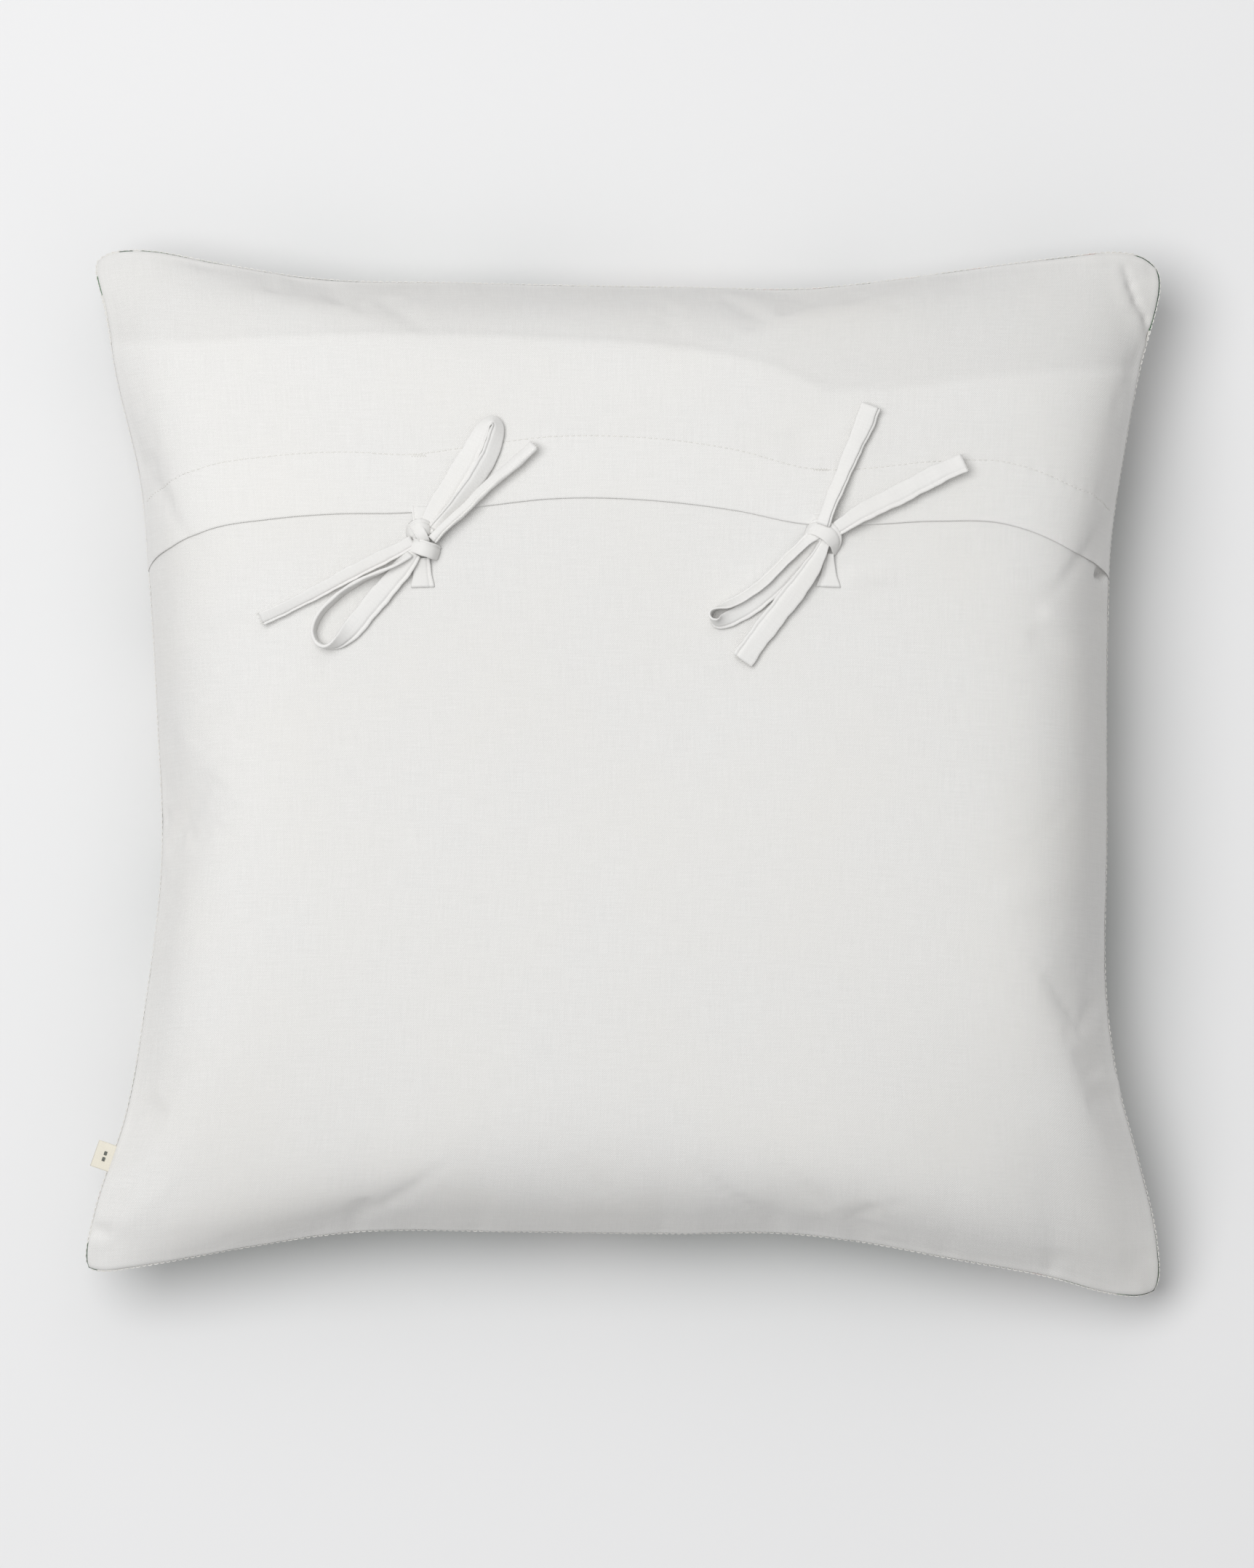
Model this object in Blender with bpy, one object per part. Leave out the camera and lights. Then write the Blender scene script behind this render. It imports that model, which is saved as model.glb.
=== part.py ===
"""A square floor cushion, lying on its printed face with the tied envelope back up.

Every sub-part is its own object. Lengths are in metres. +Z is up, +X is to the right and
+Y runs towards the edge that the flap is sewn into. The floor is z = 0.
"""

import math

import bmesh
import bpy
from mathutils import Vector

# ---- driving dimensions -------------------------------------------------------------

SEAM_Z = 0.064  # height of the sewn edge above the floor
BACK_RISE = 0.082  # the back stands this far above the sewn edge
FACE_DROP = 0.086  # the face would reach this far below it, but the floor flattens it

CORNERS = {  # the four tips of the sewn outline
    "left_low": (-0.300, -0.276),
    "right_low": (0.300, -0.291),
    "right_high": (0.300, 0.289),
    "left_high": (-0.300, 0.291),
}
BOWS = {"left": 0.042, "right": 0.032, "low": 0.033, "high": 0.0225}  # how far each side pulls in
BOW_POWER = 2.4
FULL_POWER = 4.0  # how flat the middle of the dome is
FULL_ROOT = 0.6  # how steeply it falls to the sewn edge

GAP = 0.0003  # between faces that touch on the real object
CANVAS = 0.0010  # cover cloth
LINING = 0.0006  # insert cloth

# Depths below the cushion's outer surface.
PANEL_INSET = 0.0030  # the lower back panel, which leaves room for the ties under the flap
COVER_THREAD_INSET = 0.0058
INSERT_INSET = 0.0084
INSERT_THREAD_INSET = 0.0106
FILLING_INSET = 0.0126
UNDERLAP_THREAD_INSET = 0.0060

FLAP_EDGE_AT_SIDES = 0.364  # where the flap's free edge lies, from -1 (low edge) to 1 (high edge)
FLAP_EDGE_RISE = 0.180
UNDERLAP_EDGE = 0.850  # where the hidden edge of the lower back panel lies
UNDERLAP_SKEW = 0.040
HEM_WIDTH = 0.120  # of the flap's hem, on the same -1 to 1 scale
UNDERLAP_HEM = 0.060

THREAD = 0.0006
SEAM_THREAD = 0.0008

TIE_THICK = 0.0012
SEWN_TIE_THICK = 0.0008
PRESSED_LOOP_THICK = 0.0026
LOOP_WIDTH = 0.005  # the strip stands partly on edge round its loops
PRESSED_LOOP_WIDTH = 0.008
TAIL_WIDTH = 0.007
SEWN_TIE_WIDTH = 0.009
SIDE_SHARE = 0.99  # of each side that a seam thread follows before it turns the corner
KNOT_SIZE = (0.0155, 0.0200, 0.0100)

# Heights of a tie's underside over the cushion's outer surface.
UNDER_FLAP = -0.0025
ON_PANEL = -0.0018
ON_FLAP = 0.0013  # clears the hem thread
CROSSING = 0.0034  # over another tie
MIDWAY = 0.0004

LABEL_SIZE = (0.0150, 0.0125, 0.0010)  # along the seam, outwards, and both folds together
LABEL_OFFSET = 0.0010  # from the sewn edge to the label's hinge line
LABEL_PLACE = -0.775  # on the left side, from -1 (low) to 1 (high)

LEFT_KNOT = (-0.1080, 0.1294)
RIGHT_KNOT = (0.1084, 0.1294)

ACROSS = 24  # grid columns
LOW_ROWS = 11  # grid rows below the flap's edge, in the overlap, and above the underlap
OVERLAP_ROWS = 4
HIGH_ROWS = 4


# ---- the cushion's shape ------------------------------------------------------------


def bow(t):
    """Share of a side's pull-in at t, which runs from -1 to 1 along that side."""
    return 1.0 - abs(t) ** BOW_POWER


def fullness(t):
    """Height share of the dome at t: 1 in the middle and 0 at the sewn edge."""
    return max(0.0, 1.0 - abs(t) ** FULL_POWER) ** FULL_ROOT


def outline_corner(name, inset):
    """A corner tip moved inwards, with no height."""
    x, y = CORNERS[name]
    return Vector((x - math.copysign(inset, x), y - math.copysign(inset, y), 0.0))


def plan_point(u, v, inset=0.0):
    """The place of grid point (u, v) seen from above: a patch stretched between four bowed sides."""
    low_left = outline_corner("left_low", inset)
    low_right = outline_corner("right_low", inset)
    high_right = outline_corner("right_high", inset)
    high_left = outline_corner("left_high", inset)
    s = (u + 1.0) / 2.0
    t = (v + 1.0) / 2.0
    low = low_left.lerp(low_right, s) + Vector((0.0, BOWS["low"] * bow(u), 0.0))
    high = high_left.lerp(high_right, s) - Vector((0.0, BOWS["high"] * bow(u), 0.0))
    left = low_left.lerp(high_left, t) + Vector((BOWS["left"] * bow(v), 0.0, 0.0))
    right = low_right.lerp(high_right, t) - Vector((BOWS["right"] * bow(v), 0.0, 0.0))
    flat = low_left.lerp(low_right, s).lerp(high_left.lerp(high_right, s), t)
    return left.lerp(right, s) + low.lerp(high, t) - flat


def back_point(u, v, inset=0.0):
    """A point of the upper surface, inset below the cushion's outer one."""
    point = plan_point(u, v, inset)
    point.z = SEAM_Z + GAP + (BACK_RISE - inset) * fullness(u) * fullness(v)
    return point


def face_point(u, v, inset=0.0):
    """A point of the lower surface, flat where it lies on the floor."""
    point = plan_point(u, v, inset)
    point.z = max(inset, SEAM_Z - GAP - (FACE_DROP - inset) * fullness(u) * fullness(v))
    return point


def grid_place(x, y):
    """The (u, v) whose plan point is (x, y), by a few Newton steps."""
    u, v, step = x / 0.27, y / 0.27, 1e-4
    for _ in range(8):
        here = plan_point(u, v)
        along_u = (plan_point(u + step, v) - here) / step
        along_v = (plan_point(u, v + step) - here) / step
        miss = Vector((x, y, 0.0)) - here
        area = along_u.x * along_v.y - along_u.y * along_v.x
        u += (miss.x * along_v.y - miss.y * along_v.x) / area
        v += (miss.y * along_u.x - miss.x * along_u.y) / area
    return u, v


def on_back(x, y, lift=0.0):
    """The point of the back surface above (x, y), raised by lift along the surface's normal."""
    u, v = grid_place(x, y)
    step = 1e-3
    here = back_point(u, v)
    slope_u = back_point(u + step, v) - here
    slope_v = back_point(u, v + step) - here
    normal = slope_u.cross(slope_v).normalized()
    return here + normal * lift, normal


# ---- the grid that all the panels share ---------------------------------------------


def flap_edge(u):
    """Where the flap's free edge runs: high in the middle, low at the side seams."""
    return FLAP_EDGE_AT_SIDES + FLAP_EDGE_RISE * (1.0 - abs(u) ** 4)


def underlap_edge(u):
    """Where the lower back panel ends under the flap."""
    return UNDERLAP_EDGE - UNDERLAP_SKEW * u


def columns():
    """Grid columns, closer together near the left and right seams."""
    for i in range(ACROSS + 1):
        yield math.sin((2.0 * i / ACROSS - 1.0) * math.pi / 2.0)


def row_places(u, low=True, overlap=True, high=True):
    """The rows' v values in one column, for the wanted stretches of the back."""
    edge, under = flap_edge(u), underlap_edge(u)
    rows = []
    if low:
        for k in range(LOW_ROWS + 1):
            rows.append(-1.0 + (edge + 1.0) * (1.0 - math.cos(math.pi / 2.0 * k / LOW_ROWS)))
    if overlap:
        start = 1 if low else 0
        for k in range(start, OVERLAP_ROWS + 1):
            rows.append(edge + (under - edge) * k / OVERLAP_ROWS)
    if high:
        for k in range(1, HIGH_ROWS + 1):
            rows.append(under + (1.0 - under) * math.sin(math.pi / 2.0 * k / HIGH_ROWS))
    return rows


# ---- making objects -----------------------------------------------------------------


def material(name, colour, roughness=0.9):
    made = bpy.data.materials.new(name)
    made.use_nodes = True
    shader = made.node_tree.nodes["Principled BSDF"]
    shader.inputs["Base Color"].default_value = (*colour, 1.0)
    shader.inputs["Roughness"].default_value = roughness
    shader.inputs["Metallic"].default_value = 0.0
    return made


def new_object(name, bm, surface):
    bmesh.ops.recalc_face_normals(bm, faces=bm.faces)
    if bm.calc_volume(signed=True) < 0.0:
        bmesh.ops.reverse_faces(bm, faces=bm.faces)
    mesh = bpy.data.meshes.new(name)
    bm.to_mesh(mesh)
    bm.free()
    mesh.shade_smooth()
    mesh.set_sharp_from_angle(angle=math.radians(40.0))
    mesh.materials.append(surface)
    made = bpy.data.objects.new(name, mesh)
    bpy.context.scene.collection.objects.link(made)
    return made


def cloth_shell(name, surface, shape, inset, thickness, **stretches):
    """A cloth panel: an outer and an inner grid of the same layout, joined round their rim."""
    bm = bmesh.new()
    layers = []
    for depth in (inset, inset + thickness):
        layer = []
        for u in columns():
            layer.append([bm.verts.new(shape(u, v, depth)) for v in row_places(u, **stretches)])
        layers.append(layer)
    outer, inner = layers
    across, along = len(outer), len(outer[0])
    for i in range(across - 1):
        for j in range(along - 1):
            bm.faces.new((outer[i][j], outer[i + 1][j], outer[i + 1][j + 1], outer[i][j + 1]))
            bm.faces.new((inner[i][j], inner[i][j + 1], inner[i + 1][j + 1], inner[i + 1][j]))
    rim = [(i, 0) for i in range(across - 1)]
    rim += [(across - 1, j) for j in range(along - 1)]
    rim += [(i, along - 1) for i in range(across - 1, 0, -1)]
    rim += [(0, j) for j in range(along - 1, 0, -1)]
    for (i, j), (k, m) in zip(rim, rim[1:] + rim[:1]):
        bm.faces.new((outer[i][j], inner[i][j], inner[k][m], outer[k][m]))
    return new_object(name, bm, surface)


def filled_body(name, surface, inset):
    """One closed body that fills the cushion up to inset: an upper and a lower grid with one rim."""
    bm = bmesh.new()
    upper, lower = [], []
    for u in columns():
        places = row_places(u)
        tops, bottoms = [], []
        for v in places:
            top = bm.verts.new(back_point(u, v, inset))
            edge = abs(u) > 0.9999 or abs(v) > 0.9999
            tops.append(top)
            bottoms.append(top if edge else bm.verts.new(face_point(u, v, inset)))
        upper.append(tops)
        lower.append(bottoms)
    for i in range(len(upper) - 1):
        for j in range(len(upper[0]) - 1):
            for layer in (upper, lower):
                corners = (layer[i][j], layer[i + 1][j], layer[i + 1][j + 1], layer[i][j + 1])
                bm.faces.new(corners)
    return new_object(name, bm, surface)


def thread(name, surface, points, radius, closed=False):
    """A run of sewing thread along the points, as one thin tube."""
    line = bpy.data.curves.new(name, "CURVE")
    line.dimensions = "3D"
    line.bevel_depth = radius
    line.bevel_resolution = 0
    line.use_fill_caps = True
    spline = line.splines.new("POLY")
    spline.points.add(len(points) - 1)
    for place, point in zip(spline.points, points):
        place.co = (*point, 1.0)
    spline.use_cyclic_u = closed
    line.materials.append(surface)
    made = bpy.data.objects.new(name, line)
    bpy.context.scene.collection.objects.link(made)
    return made


def smooth_route(points, spacing=0.006):
    """A smooth curve through hand-picked (x, y, lift) points, read off at even steps."""
    fine = []
    count = len(points)
    for i in range(count - 1):
        before = points[max(i - 1, 0)]
        start, end = points[i], points[i + 1]
        after = points[min(i + 2, count - 1)]
        length = math.dist(start[:2], end[:2])
        steps = max(2, round(length / spacing))
        for k in range(steps):
            t = k / steps
            value = []
            for a, b, c, d in zip(before, start, end, after):
                value.append(
                    0.5 * (2 * b + (c - a) * t + (2 * a - 5 * b + 4 * c - d) * t**2
                           + (3 * b - a - 3 * c + d) * t**3)
                )
            fine.append(tuple(value))
    fine.append(tuple(points[-1]))
    return fine


def band(name, surface, route, width, thickness):
    """A flat cloth strip that lies on the back along a route of (x, y, lift) points."""
    stations = [on_back(x, y, lift + thickness / 2.0) for x, y, lift in smooth_route(route)]
    bm = bmesh.new()
    rings = []
    for i, (middle, normal) in enumerate(stations):
        ahead = stations[min(i + 1, len(stations) - 1)][0]
        behind = stations[max(i - 1, 0)][0]
        along = (ahead - behind).normalized()
        side = along.cross(normal).normalized() * width / 2.0
        up = normal * thickness / 2.0
        ring = [middle - side - up, middle + side - up, middle + side + up, middle - side + up]
        rings.append([bm.verts.new(point) for point in ring])
    for ring, after in zip(rings, rings[1:]):
        for k in range(4):
            bm.faces.new((ring[k], ring[(k + 1) % 4], after[(k + 1) % 4], after[k]))
    bm.faces.new(rings[0])
    bm.faces.new(rings[-1])
    return new_object(name, bm, surface)


# ---- sub-parts ----------------------------------------------------------------------


def add_cover(canvas, printed):
    """The three panels of the removable cover."""
    cloth_shell("front_panel", printed, face_point, 0.0, CANVAS)
    cloth_shell("flap_panel", canvas, back_point, 0.0, CANVAS, low=False)
    cloth_shell("lower_back_panel", canvas, back_point, PANEL_INSET, CANVAS, high=False)


def add_insert(casing, fibre, cotton):
    """The pillow inside the cover: two casing halves, their seam thread and the filling."""
    cloth_shell("insert_back_casing", casing, back_point, INSERT_INSET, LINING)
    cloth_shell("insert_face_casing", casing, face_point, INSERT_INSET, LINING)
    filled_body("fibre_filling", fibre, FILLING_INSET)
    thread("insert_seam_thread", cotton, rim_route(INSERT_THREAD_INSET), THREAD / 2.0, True)


def rim_route(inset):
    """A closed route round the cushion in the plane of the sewn edge, cutting each corner a little."""
    steps = 20
    sides = [SIDE_SHARE * (2.0 * k / steps - 1.0) for k in range(steps + 1)]
    route = [(t, -1.0) for t in sides] + [(1.0, t) for t in sides]
    route += [(-t, 1.0) for t in sides] + [(-1.0, -t) for t in sides]
    points = []
    for u, v in route:
        point = plan_point(u, v, inset)
        point.z = SEAM_Z
        points.append(point)
    return points


def add_seam_threads(cotton):
    """The stitching that holds the cover together."""
    thread("perimeter_seam_thread", cotton, rim_route(COVER_THREAD_INSET), SEAM_THREAD / 2.0, True)
    raised = THREAD / 2.0 + GAP
    hem = []
    for u in columns():
        if abs(u) < 0.99:
            place = plan_point(u, flap_edge(u) + HEM_WIDTH)
            hem.append(on_back(place.x, place.y, raised)[0])
    thread("flap_hem_thread", cotton, hem, THREAD / 2.0)
    hidden = []
    for u in columns():
        if abs(u) < 0.99:
            hidden.append(back_point(u, underlap_edge(u) - UNDERLAP_HEM, UNDERLAP_THREAD_INSET))
    thread("underlap_hem_thread", cotton, hidden, THREAD / 2.0)


def add_knot(name, surface, centre):
    """The lump where two ties are knotted, flattened on the cloth."""
    width, length, height = KNOT_SIZE
    place, normal = on_back(*centre, height / 2.0 + MIDWAY)
    bm = bmesh.new()
    bmesh.ops.create_cube(bm, size=1.0)
    bmesh.ops.scale(bm, vec=(width, length, height), verts=bm.verts)
    bmesh.ops.bevel(bm, geom=bm.edges, offset=height * 0.3, segments=2, profile=0.5, affect="EDGES")
    bmesh.ops.triangulate(bm, faces=bm.faces)
    bmesh.ops.rotate(bm, matrix=Vector((0, 0, 1)).rotation_difference(normal).to_matrix(), verts=bm.verts)
    bmesh.ops.translate(bm, vec=place, verts=bm.verts)
    return new_object(name, bm, surface)


def add_tack(name, cotton, centre, under, width):
    """A bar tack: one thread sewn to and fro through a tie's sewn end, over what is under it."""
    x, y = centre
    lift = under + THREAD / 2.0 + GAP
    points = []
    turns = 6
    for k in range(turns + 1):
        side = -1.0 if k % 2 else 1.0
        across = x + (k / turns - 0.5) * width
        points.append(on_back(across, y + side * 0.0012, lift)[0])
    thread(name, cotton, points, THREAD / 2.0)


# The free stretches of the ties: width, thickness, and a route of (x, y, lift) points from the knot out.
FREE_TIES = {
    "left_bow_upper_loop": (
        LOOP_WIDTH,
        TIE_THICK,
        [(-0.0990, 0.1462, ON_FLAP), (-0.0946, 0.1523, ON_FLAP), (-0.0893, 0.1612, ON_FLAP),
         (-0.0844, 0.1694, ON_FLAP), (-0.0799, 0.1777, ON_FLAP), (-0.0759, 0.1858, ON_FLAP),
         (-0.0730, 0.1905, ON_FLAP), (-0.0694, 0.1921, ON_FLAP), (-0.0671, 0.1891, ON_FLAP),
         (-0.0679, 0.1838, ON_FLAP), (-0.0694, 0.1783, ON_FLAP), (-0.0718, 0.1724, ON_FLAP),
         (-0.0765, 0.1641, ON_FLAP), (-0.0820, 0.1563, ON_FLAP), (-0.0897, 0.1470, ON_FLAP),
         (-0.0962, 0.1397, ON_FLAP)],
    ),
    "left_bow_upper_tail": (
        TAIL_WIDTH,
        TIE_THICK,
        [(-0.0939, 0.1360, CROSSING), (-0.0885, 0.1411, CROSSING), (-0.0833, 0.1460, CROSSING),
         (-0.0767, 0.1525, CROSSING), (-0.0696, 0.1588, CROSSING), (-0.0576, 0.1687, CROSSING),
         (-0.0470, 0.1783, CROSSING)],
    ),
    "left_bow_lower_tail": (
        TAIL_WIDTH,
        TIE_THICK,
        [(-0.1200, 0.1225, CROSSING), (-0.1289, 0.1181, CROSSING), (-0.1419, 0.1116, CROSSING),
         (-0.1498, 0.1076, CROSSING), (-0.1576, 0.1033, CROSSING), (-0.1735, 0.0950, MIDWAY),
         (-0.1850, 0.0893, MIDWAY), (-0.1941, 0.0852, MIDWAY)],
    ),
    "left_bow_lower_loop": (
        LOOP_WIDTH,
        TIE_THICK,
        [(-0.1225, 0.1141, CROSSING), (-0.1317, 0.1096, MIDWAY), (-0.1415, 0.1051, MIDWAY),
         (-0.1513, 0.0988, ON_PANEL), (-0.1590, 0.0919, ON_PANEL), (-0.1643, 0.0850, ON_PANEL),
         (-0.1661, 0.0784, ON_PANEL), (-0.1641, 0.0726, ON_PANEL), (-0.1592, 0.0700, ON_PANEL),
         (-0.1537, 0.0718, ON_PANEL), (-0.1476, 0.0774, ON_PANEL), (-0.1413, 0.0848, ON_PANEL),
         (-0.1340, 0.0938, ON_PANEL), (-0.1256, 0.1035, MIDWAY), (-0.1176, 0.1129, MIDWAY)],
    ),
    "right_bow_upper_loop": (
        PRESSED_LOOP_WIDTH,
        PRESSED_LOOP_THICK,
        [(0.1144, 0.1512, ON_FLAP), (0.1189, 0.1613, ON_FLAP), (0.1229, 0.1714, ON_FLAP),
         (0.1265, 0.1797, ON_FLAP), (0.1310, 0.1898, ON_FLAP), (0.1332, 0.1958, ON_FLAP),
         (0.1350, 0.2004, ON_FLAP)],
    ),
    "right_bow_upper_tail": (
        TAIL_WIDTH,
        TIE_THICK,
        [(0.1217, 0.1375, ON_FLAP), (0.1282, 0.1417, ON_FLAP), (0.1404, 0.1475, ON_FLAP),
         (0.1487, 0.1515, ON_FLAP), (0.1564, 0.1555, ON_FLAP), (0.1642, 0.1596, ON_FLAP),
         (0.1721, 0.1636, ON_FLAP), (0.1851, 0.1691, ON_FLAP)],
    ),
    "right_bow_lower_loop": (
        LOOP_WIDTH,
        TIE_THICK,
        [(0.0959, 0.1235, ON_FLAP), (0.0892, 0.1173, MIDWAY), (0.0823, 0.1102, MIDWAY),
         (0.0751, 0.1035, MIDWAY), (0.0652, 0.0967, ON_PANEL), (0.0571, 0.0928, ON_PANEL),
         (0.0522, 0.0911, ON_PANEL), (0.0491, 0.0891, ON_PANEL), (0.0481, 0.0866, ON_PANEL),
         (0.0495, 0.0840, ON_PANEL), (0.0526, 0.0831, ON_PANEL), (0.0582, 0.0850, ON_PANEL),
         (0.0650, 0.0887, ON_PANEL), (0.0745, 0.0950, ON_PANEL), (0.0819, 0.1013, MIDWAY),
         (0.0882, 0.1075, MIDWAY), (0.0943, 0.1141, MIDWAY)],
    ),
    "right_bow_lower_tail": (
        TAIL_WIDTH,
        TIE_THICK,
        [(0.1017, 0.1112, CROSSING), (0.0970, 0.1045, CROSSING), (0.0925, 0.0987, CROSSING),
         (0.0832, 0.0868, ON_FLAP), (0.0732, 0.0739, MIDWAY), (0.0653, 0.0626, MIDWAY)],
    ),
}

SEWN_TIES = {  # the stretch between each tack and its knot, and how far its tack stands up
    "left_flap_tie": (
        [(-0.1101, 0.1768, UNDER_FLAP), (-0.1094, 0.1464, UNDER_FLAP), (-0.1093, 0.1412, UNDER_FLAP)],
        0.0,
    ),
    "right_flap_tie": (
        [(0.1077, 0.1691, UNDER_FLAP), (0.1083, 0.1419, UNDER_FLAP), (0.1084, 0.1348, UNDER_FLAP)],
        0.0,
    ),
    "left_panel_tie": (
        [(-0.1076, 0.1023, ON_PANEL), (-0.1077, 0.1100, ON_PANEL), (-0.1078, 0.1170, ON_PANEL)],
        ON_PANEL + SEWN_TIE_THICK,
    ),
    "right_panel_tie": (
        [(0.1119, 0.1025, ON_PANEL), (0.1121, 0.1077, ON_PANEL), (0.1125, 0.1160, ON_PANEL)],
        ON_PANEL + SEWN_TIE_THICK,
    ),
}
TACK_FROM_END = 0.0030


def add_ties(canvas, cotton):
    """Two bows: their knots, sewn ends, bar tacks, and the loops and tails that lie free."""
    add_knot("left_bow_knot", canvas, LEFT_KNOT)
    add_knot("right_bow_knot", canvas, RIGHT_KNOT)
    for name, (route, under) in SEWN_TIES.items():
        band(name, canvas, route, SEWN_TIE_WIDTH, SEWN_TIE_THICK)
        x, y, _ = route[0]
        tack_y = y + math.copysign(TACK_FROM_END, route[-1][1] - y)
        add_tack(name + "_tack", cotton, (x, tack_y), under, SEWN_TIE_WIDTH)
    for name, (width, thickness, route) in FREE_TIES.items():
        band(name, canvas, route, width, thickness)


def add_label(tape):
    """A woven tape folded double, caught in the left seam near the low corner."""
    width, reach, fold = LABEL_SIZE
    root = plan_point(-1.0, LABEL_PLACE)
    along = (plan_point(-1.0, LABEL_PLACE + 0.01) - root).normalized()
    outwards = Vector((-along.y, along.x, 0.0))
    bm = bmesh.new()
    bmesh.ops.create_cube(bm, size=1.0)
    bmesh.ops.scale(bm, vec=(reach, width, fold), verts=bm.verts)
    turn = Vector((-1.0, 0.0, 0.0)).rotation_difference(outwards).to_matrix()
    bmesh.ops.rotate(bm, matrix=turn, verts=bm.verts)
    middle = root + outwards * (LABEL_OFFSET + reach / 2.0) + Vector((0.0, 0.0, SEAM_Z))
    bmesh.ops.translate(bm, vec=middle, verts=bm.verts)
    return new_object("side_label", bm, tape)


def main():
    for leftover in list(bpy.data.objects):
        bpy.data.objects.remove(leftover)
    canvas = material("off_white_canvas", (0.80, 0.79, 0.76))
    printed = material("printed_canvas", (0.45, 0.52, 0.42))
    casing = material("insert_cotton", (0.84, 0.84, 0.82))
    fibre = material("polyester_fibre", (0.90, 0.90, 0.90), 1.0)
    cotton = material("cotton_thread", (0.78, 0.77, 0.73), 0.7)
    tape = material("label_tape", (0.76, 0.72, 0.62), 0.8)
    add_cover(canvas, printed)
    add_insert(casing, fibre, cotton)
    add_seam_threads(cotton)
    add_ties(canvas, cotton)
    add_label(tape)


main()
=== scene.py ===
"""The looks of the tied floor cushion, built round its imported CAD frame.

A cloth simulation blows up the cover. Its seam line is then drawn to the cushion's outline, and
every panel, hem, thread and tie is laid on the surface that this gives.
"""

import math
import random

import bmesh
import bpy
import numpy as np
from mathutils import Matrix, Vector
from mathutils.bvhtree import BVHTree


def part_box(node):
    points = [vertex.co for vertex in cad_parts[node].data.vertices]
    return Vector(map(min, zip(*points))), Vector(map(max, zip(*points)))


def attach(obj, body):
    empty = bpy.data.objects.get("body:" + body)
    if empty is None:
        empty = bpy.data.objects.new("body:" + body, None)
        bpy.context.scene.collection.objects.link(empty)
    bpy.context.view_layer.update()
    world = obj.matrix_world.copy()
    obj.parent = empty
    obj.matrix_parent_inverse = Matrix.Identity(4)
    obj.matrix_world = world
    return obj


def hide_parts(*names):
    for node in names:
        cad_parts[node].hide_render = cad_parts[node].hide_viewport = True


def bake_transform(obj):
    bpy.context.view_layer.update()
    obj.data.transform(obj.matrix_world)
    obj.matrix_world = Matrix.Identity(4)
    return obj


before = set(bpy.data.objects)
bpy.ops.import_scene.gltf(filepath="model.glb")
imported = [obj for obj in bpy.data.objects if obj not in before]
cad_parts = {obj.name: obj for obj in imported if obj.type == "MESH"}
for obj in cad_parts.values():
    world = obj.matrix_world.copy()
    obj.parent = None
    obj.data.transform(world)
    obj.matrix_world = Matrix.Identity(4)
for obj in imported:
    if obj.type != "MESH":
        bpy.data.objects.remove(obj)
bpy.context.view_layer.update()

# ---- sizes and places, in metres ----

MM = 0.001
SEAM_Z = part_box("perimeter_seam_thread")[0].z + 0.4 * MM  # the thread's underside, plus its radius
BACK_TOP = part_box("flap_panel")[1].z
BACK_RISE = BACK_TOP - SEAM_Z
FACE_DROP = 1.16 * SEAM_Z  # the face would bulge this far below the seam, but the floor flattens it

CORNERS = {  # tips of the sewn outline
    "left_low": (-0.298, -0.275),
    "right_low": (0.299, -0.289),
    "right_high": (0.299, 0.284),
    "left_high": (-0.293, 0.288),
}
CORNER_DROOP = {  # how near a tip the corner starts to sink, in metres, and how far it sinks, in mm
    "left_low": (0.060, 12),
    "right_low": (0.130, 36),
    "right_high": (0.080, 10),
    "left_high": (0.080, 8),
}
PULL_IN = {  # how far each side bows in, in millimetres, against its place from -1 to 1
    "left": [(-1, 0), (-0.86, 9), (-0.68, 25), (-0.47, 35), (-0.17, 43.5), (0.08, 40.5),
             (0.35, 35.5), (0.55, 30), (0.76, 16), (0.9, 8.5), (1, 0)],
    "right": [(-1, 0), (-0.86, 5), (-0.72, 15.5), (-0.6, 25), (-0.46, 31.5), (-0.1, 32.5),
              (0.3, 32), (0.45, 30.5), (0.62, 23.5), (0.8, 13.5), (0.92, 4), (1, 0)],
    "low": [(-1, 0), (-0.86, 8), (-0.7, 18), (-0.5, 28), (-0.2, 30.5), (0.1, 31.5), (0.3, 33),
            (0.42, 30), (0.6, 21.5), (0.8, 11), (0.9, 3), (1, 0)],
    "high": [(-1, 0), (-0.9, -1.5), (-0.77, 5), (-0.6, 13), (-0.3, 15.5), (0.1, 17), (0.35, 17),
             (0.5, 12), (0.65, 5.5), (0.8, -0.5), (0.92, -4), (1, 0)],
}
FLAP_EDGE = [  # (x, y) of the flap's free edge
    (-0.300, 0.104), (-0.262, 0.108), (-0.256, 0.1186), (-0.246, 0.1266), (-0.2286, 0.1346),
    (-0.193, 0.141), (-0.157, 0.144), (-0.121, 0.1446), (-0.080, 0.148), (-0.038, 0.1525),
    (0.027, 0.1507), (0.063, 0.146), (0.101, 0.1386), (0.133, 0.1382), (0.173, 0.1402),
    (0.212, 0.1386), (0.233, 0.1318), (0.248, 0.124), (0.2606, 0.1158), (0.268, 0.108),
    (0.300, 0.104),
]
UNDERLAP_EDGE = [  # (x, y) of the lower panel's hidden edge, which shows through the flap as a ridge
    (-0.300, 0.236), (-0.257, 0.238), (-0.182, 0.2426), (-0.038, 0.241), (0.045, 0.2338),
    (0.086, 0.225), (0.1186, 0.2116), (0.138, 0.2122), (0.238, 0.2214), (0.300, 0.223),
]
HEM = 0.034
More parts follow.
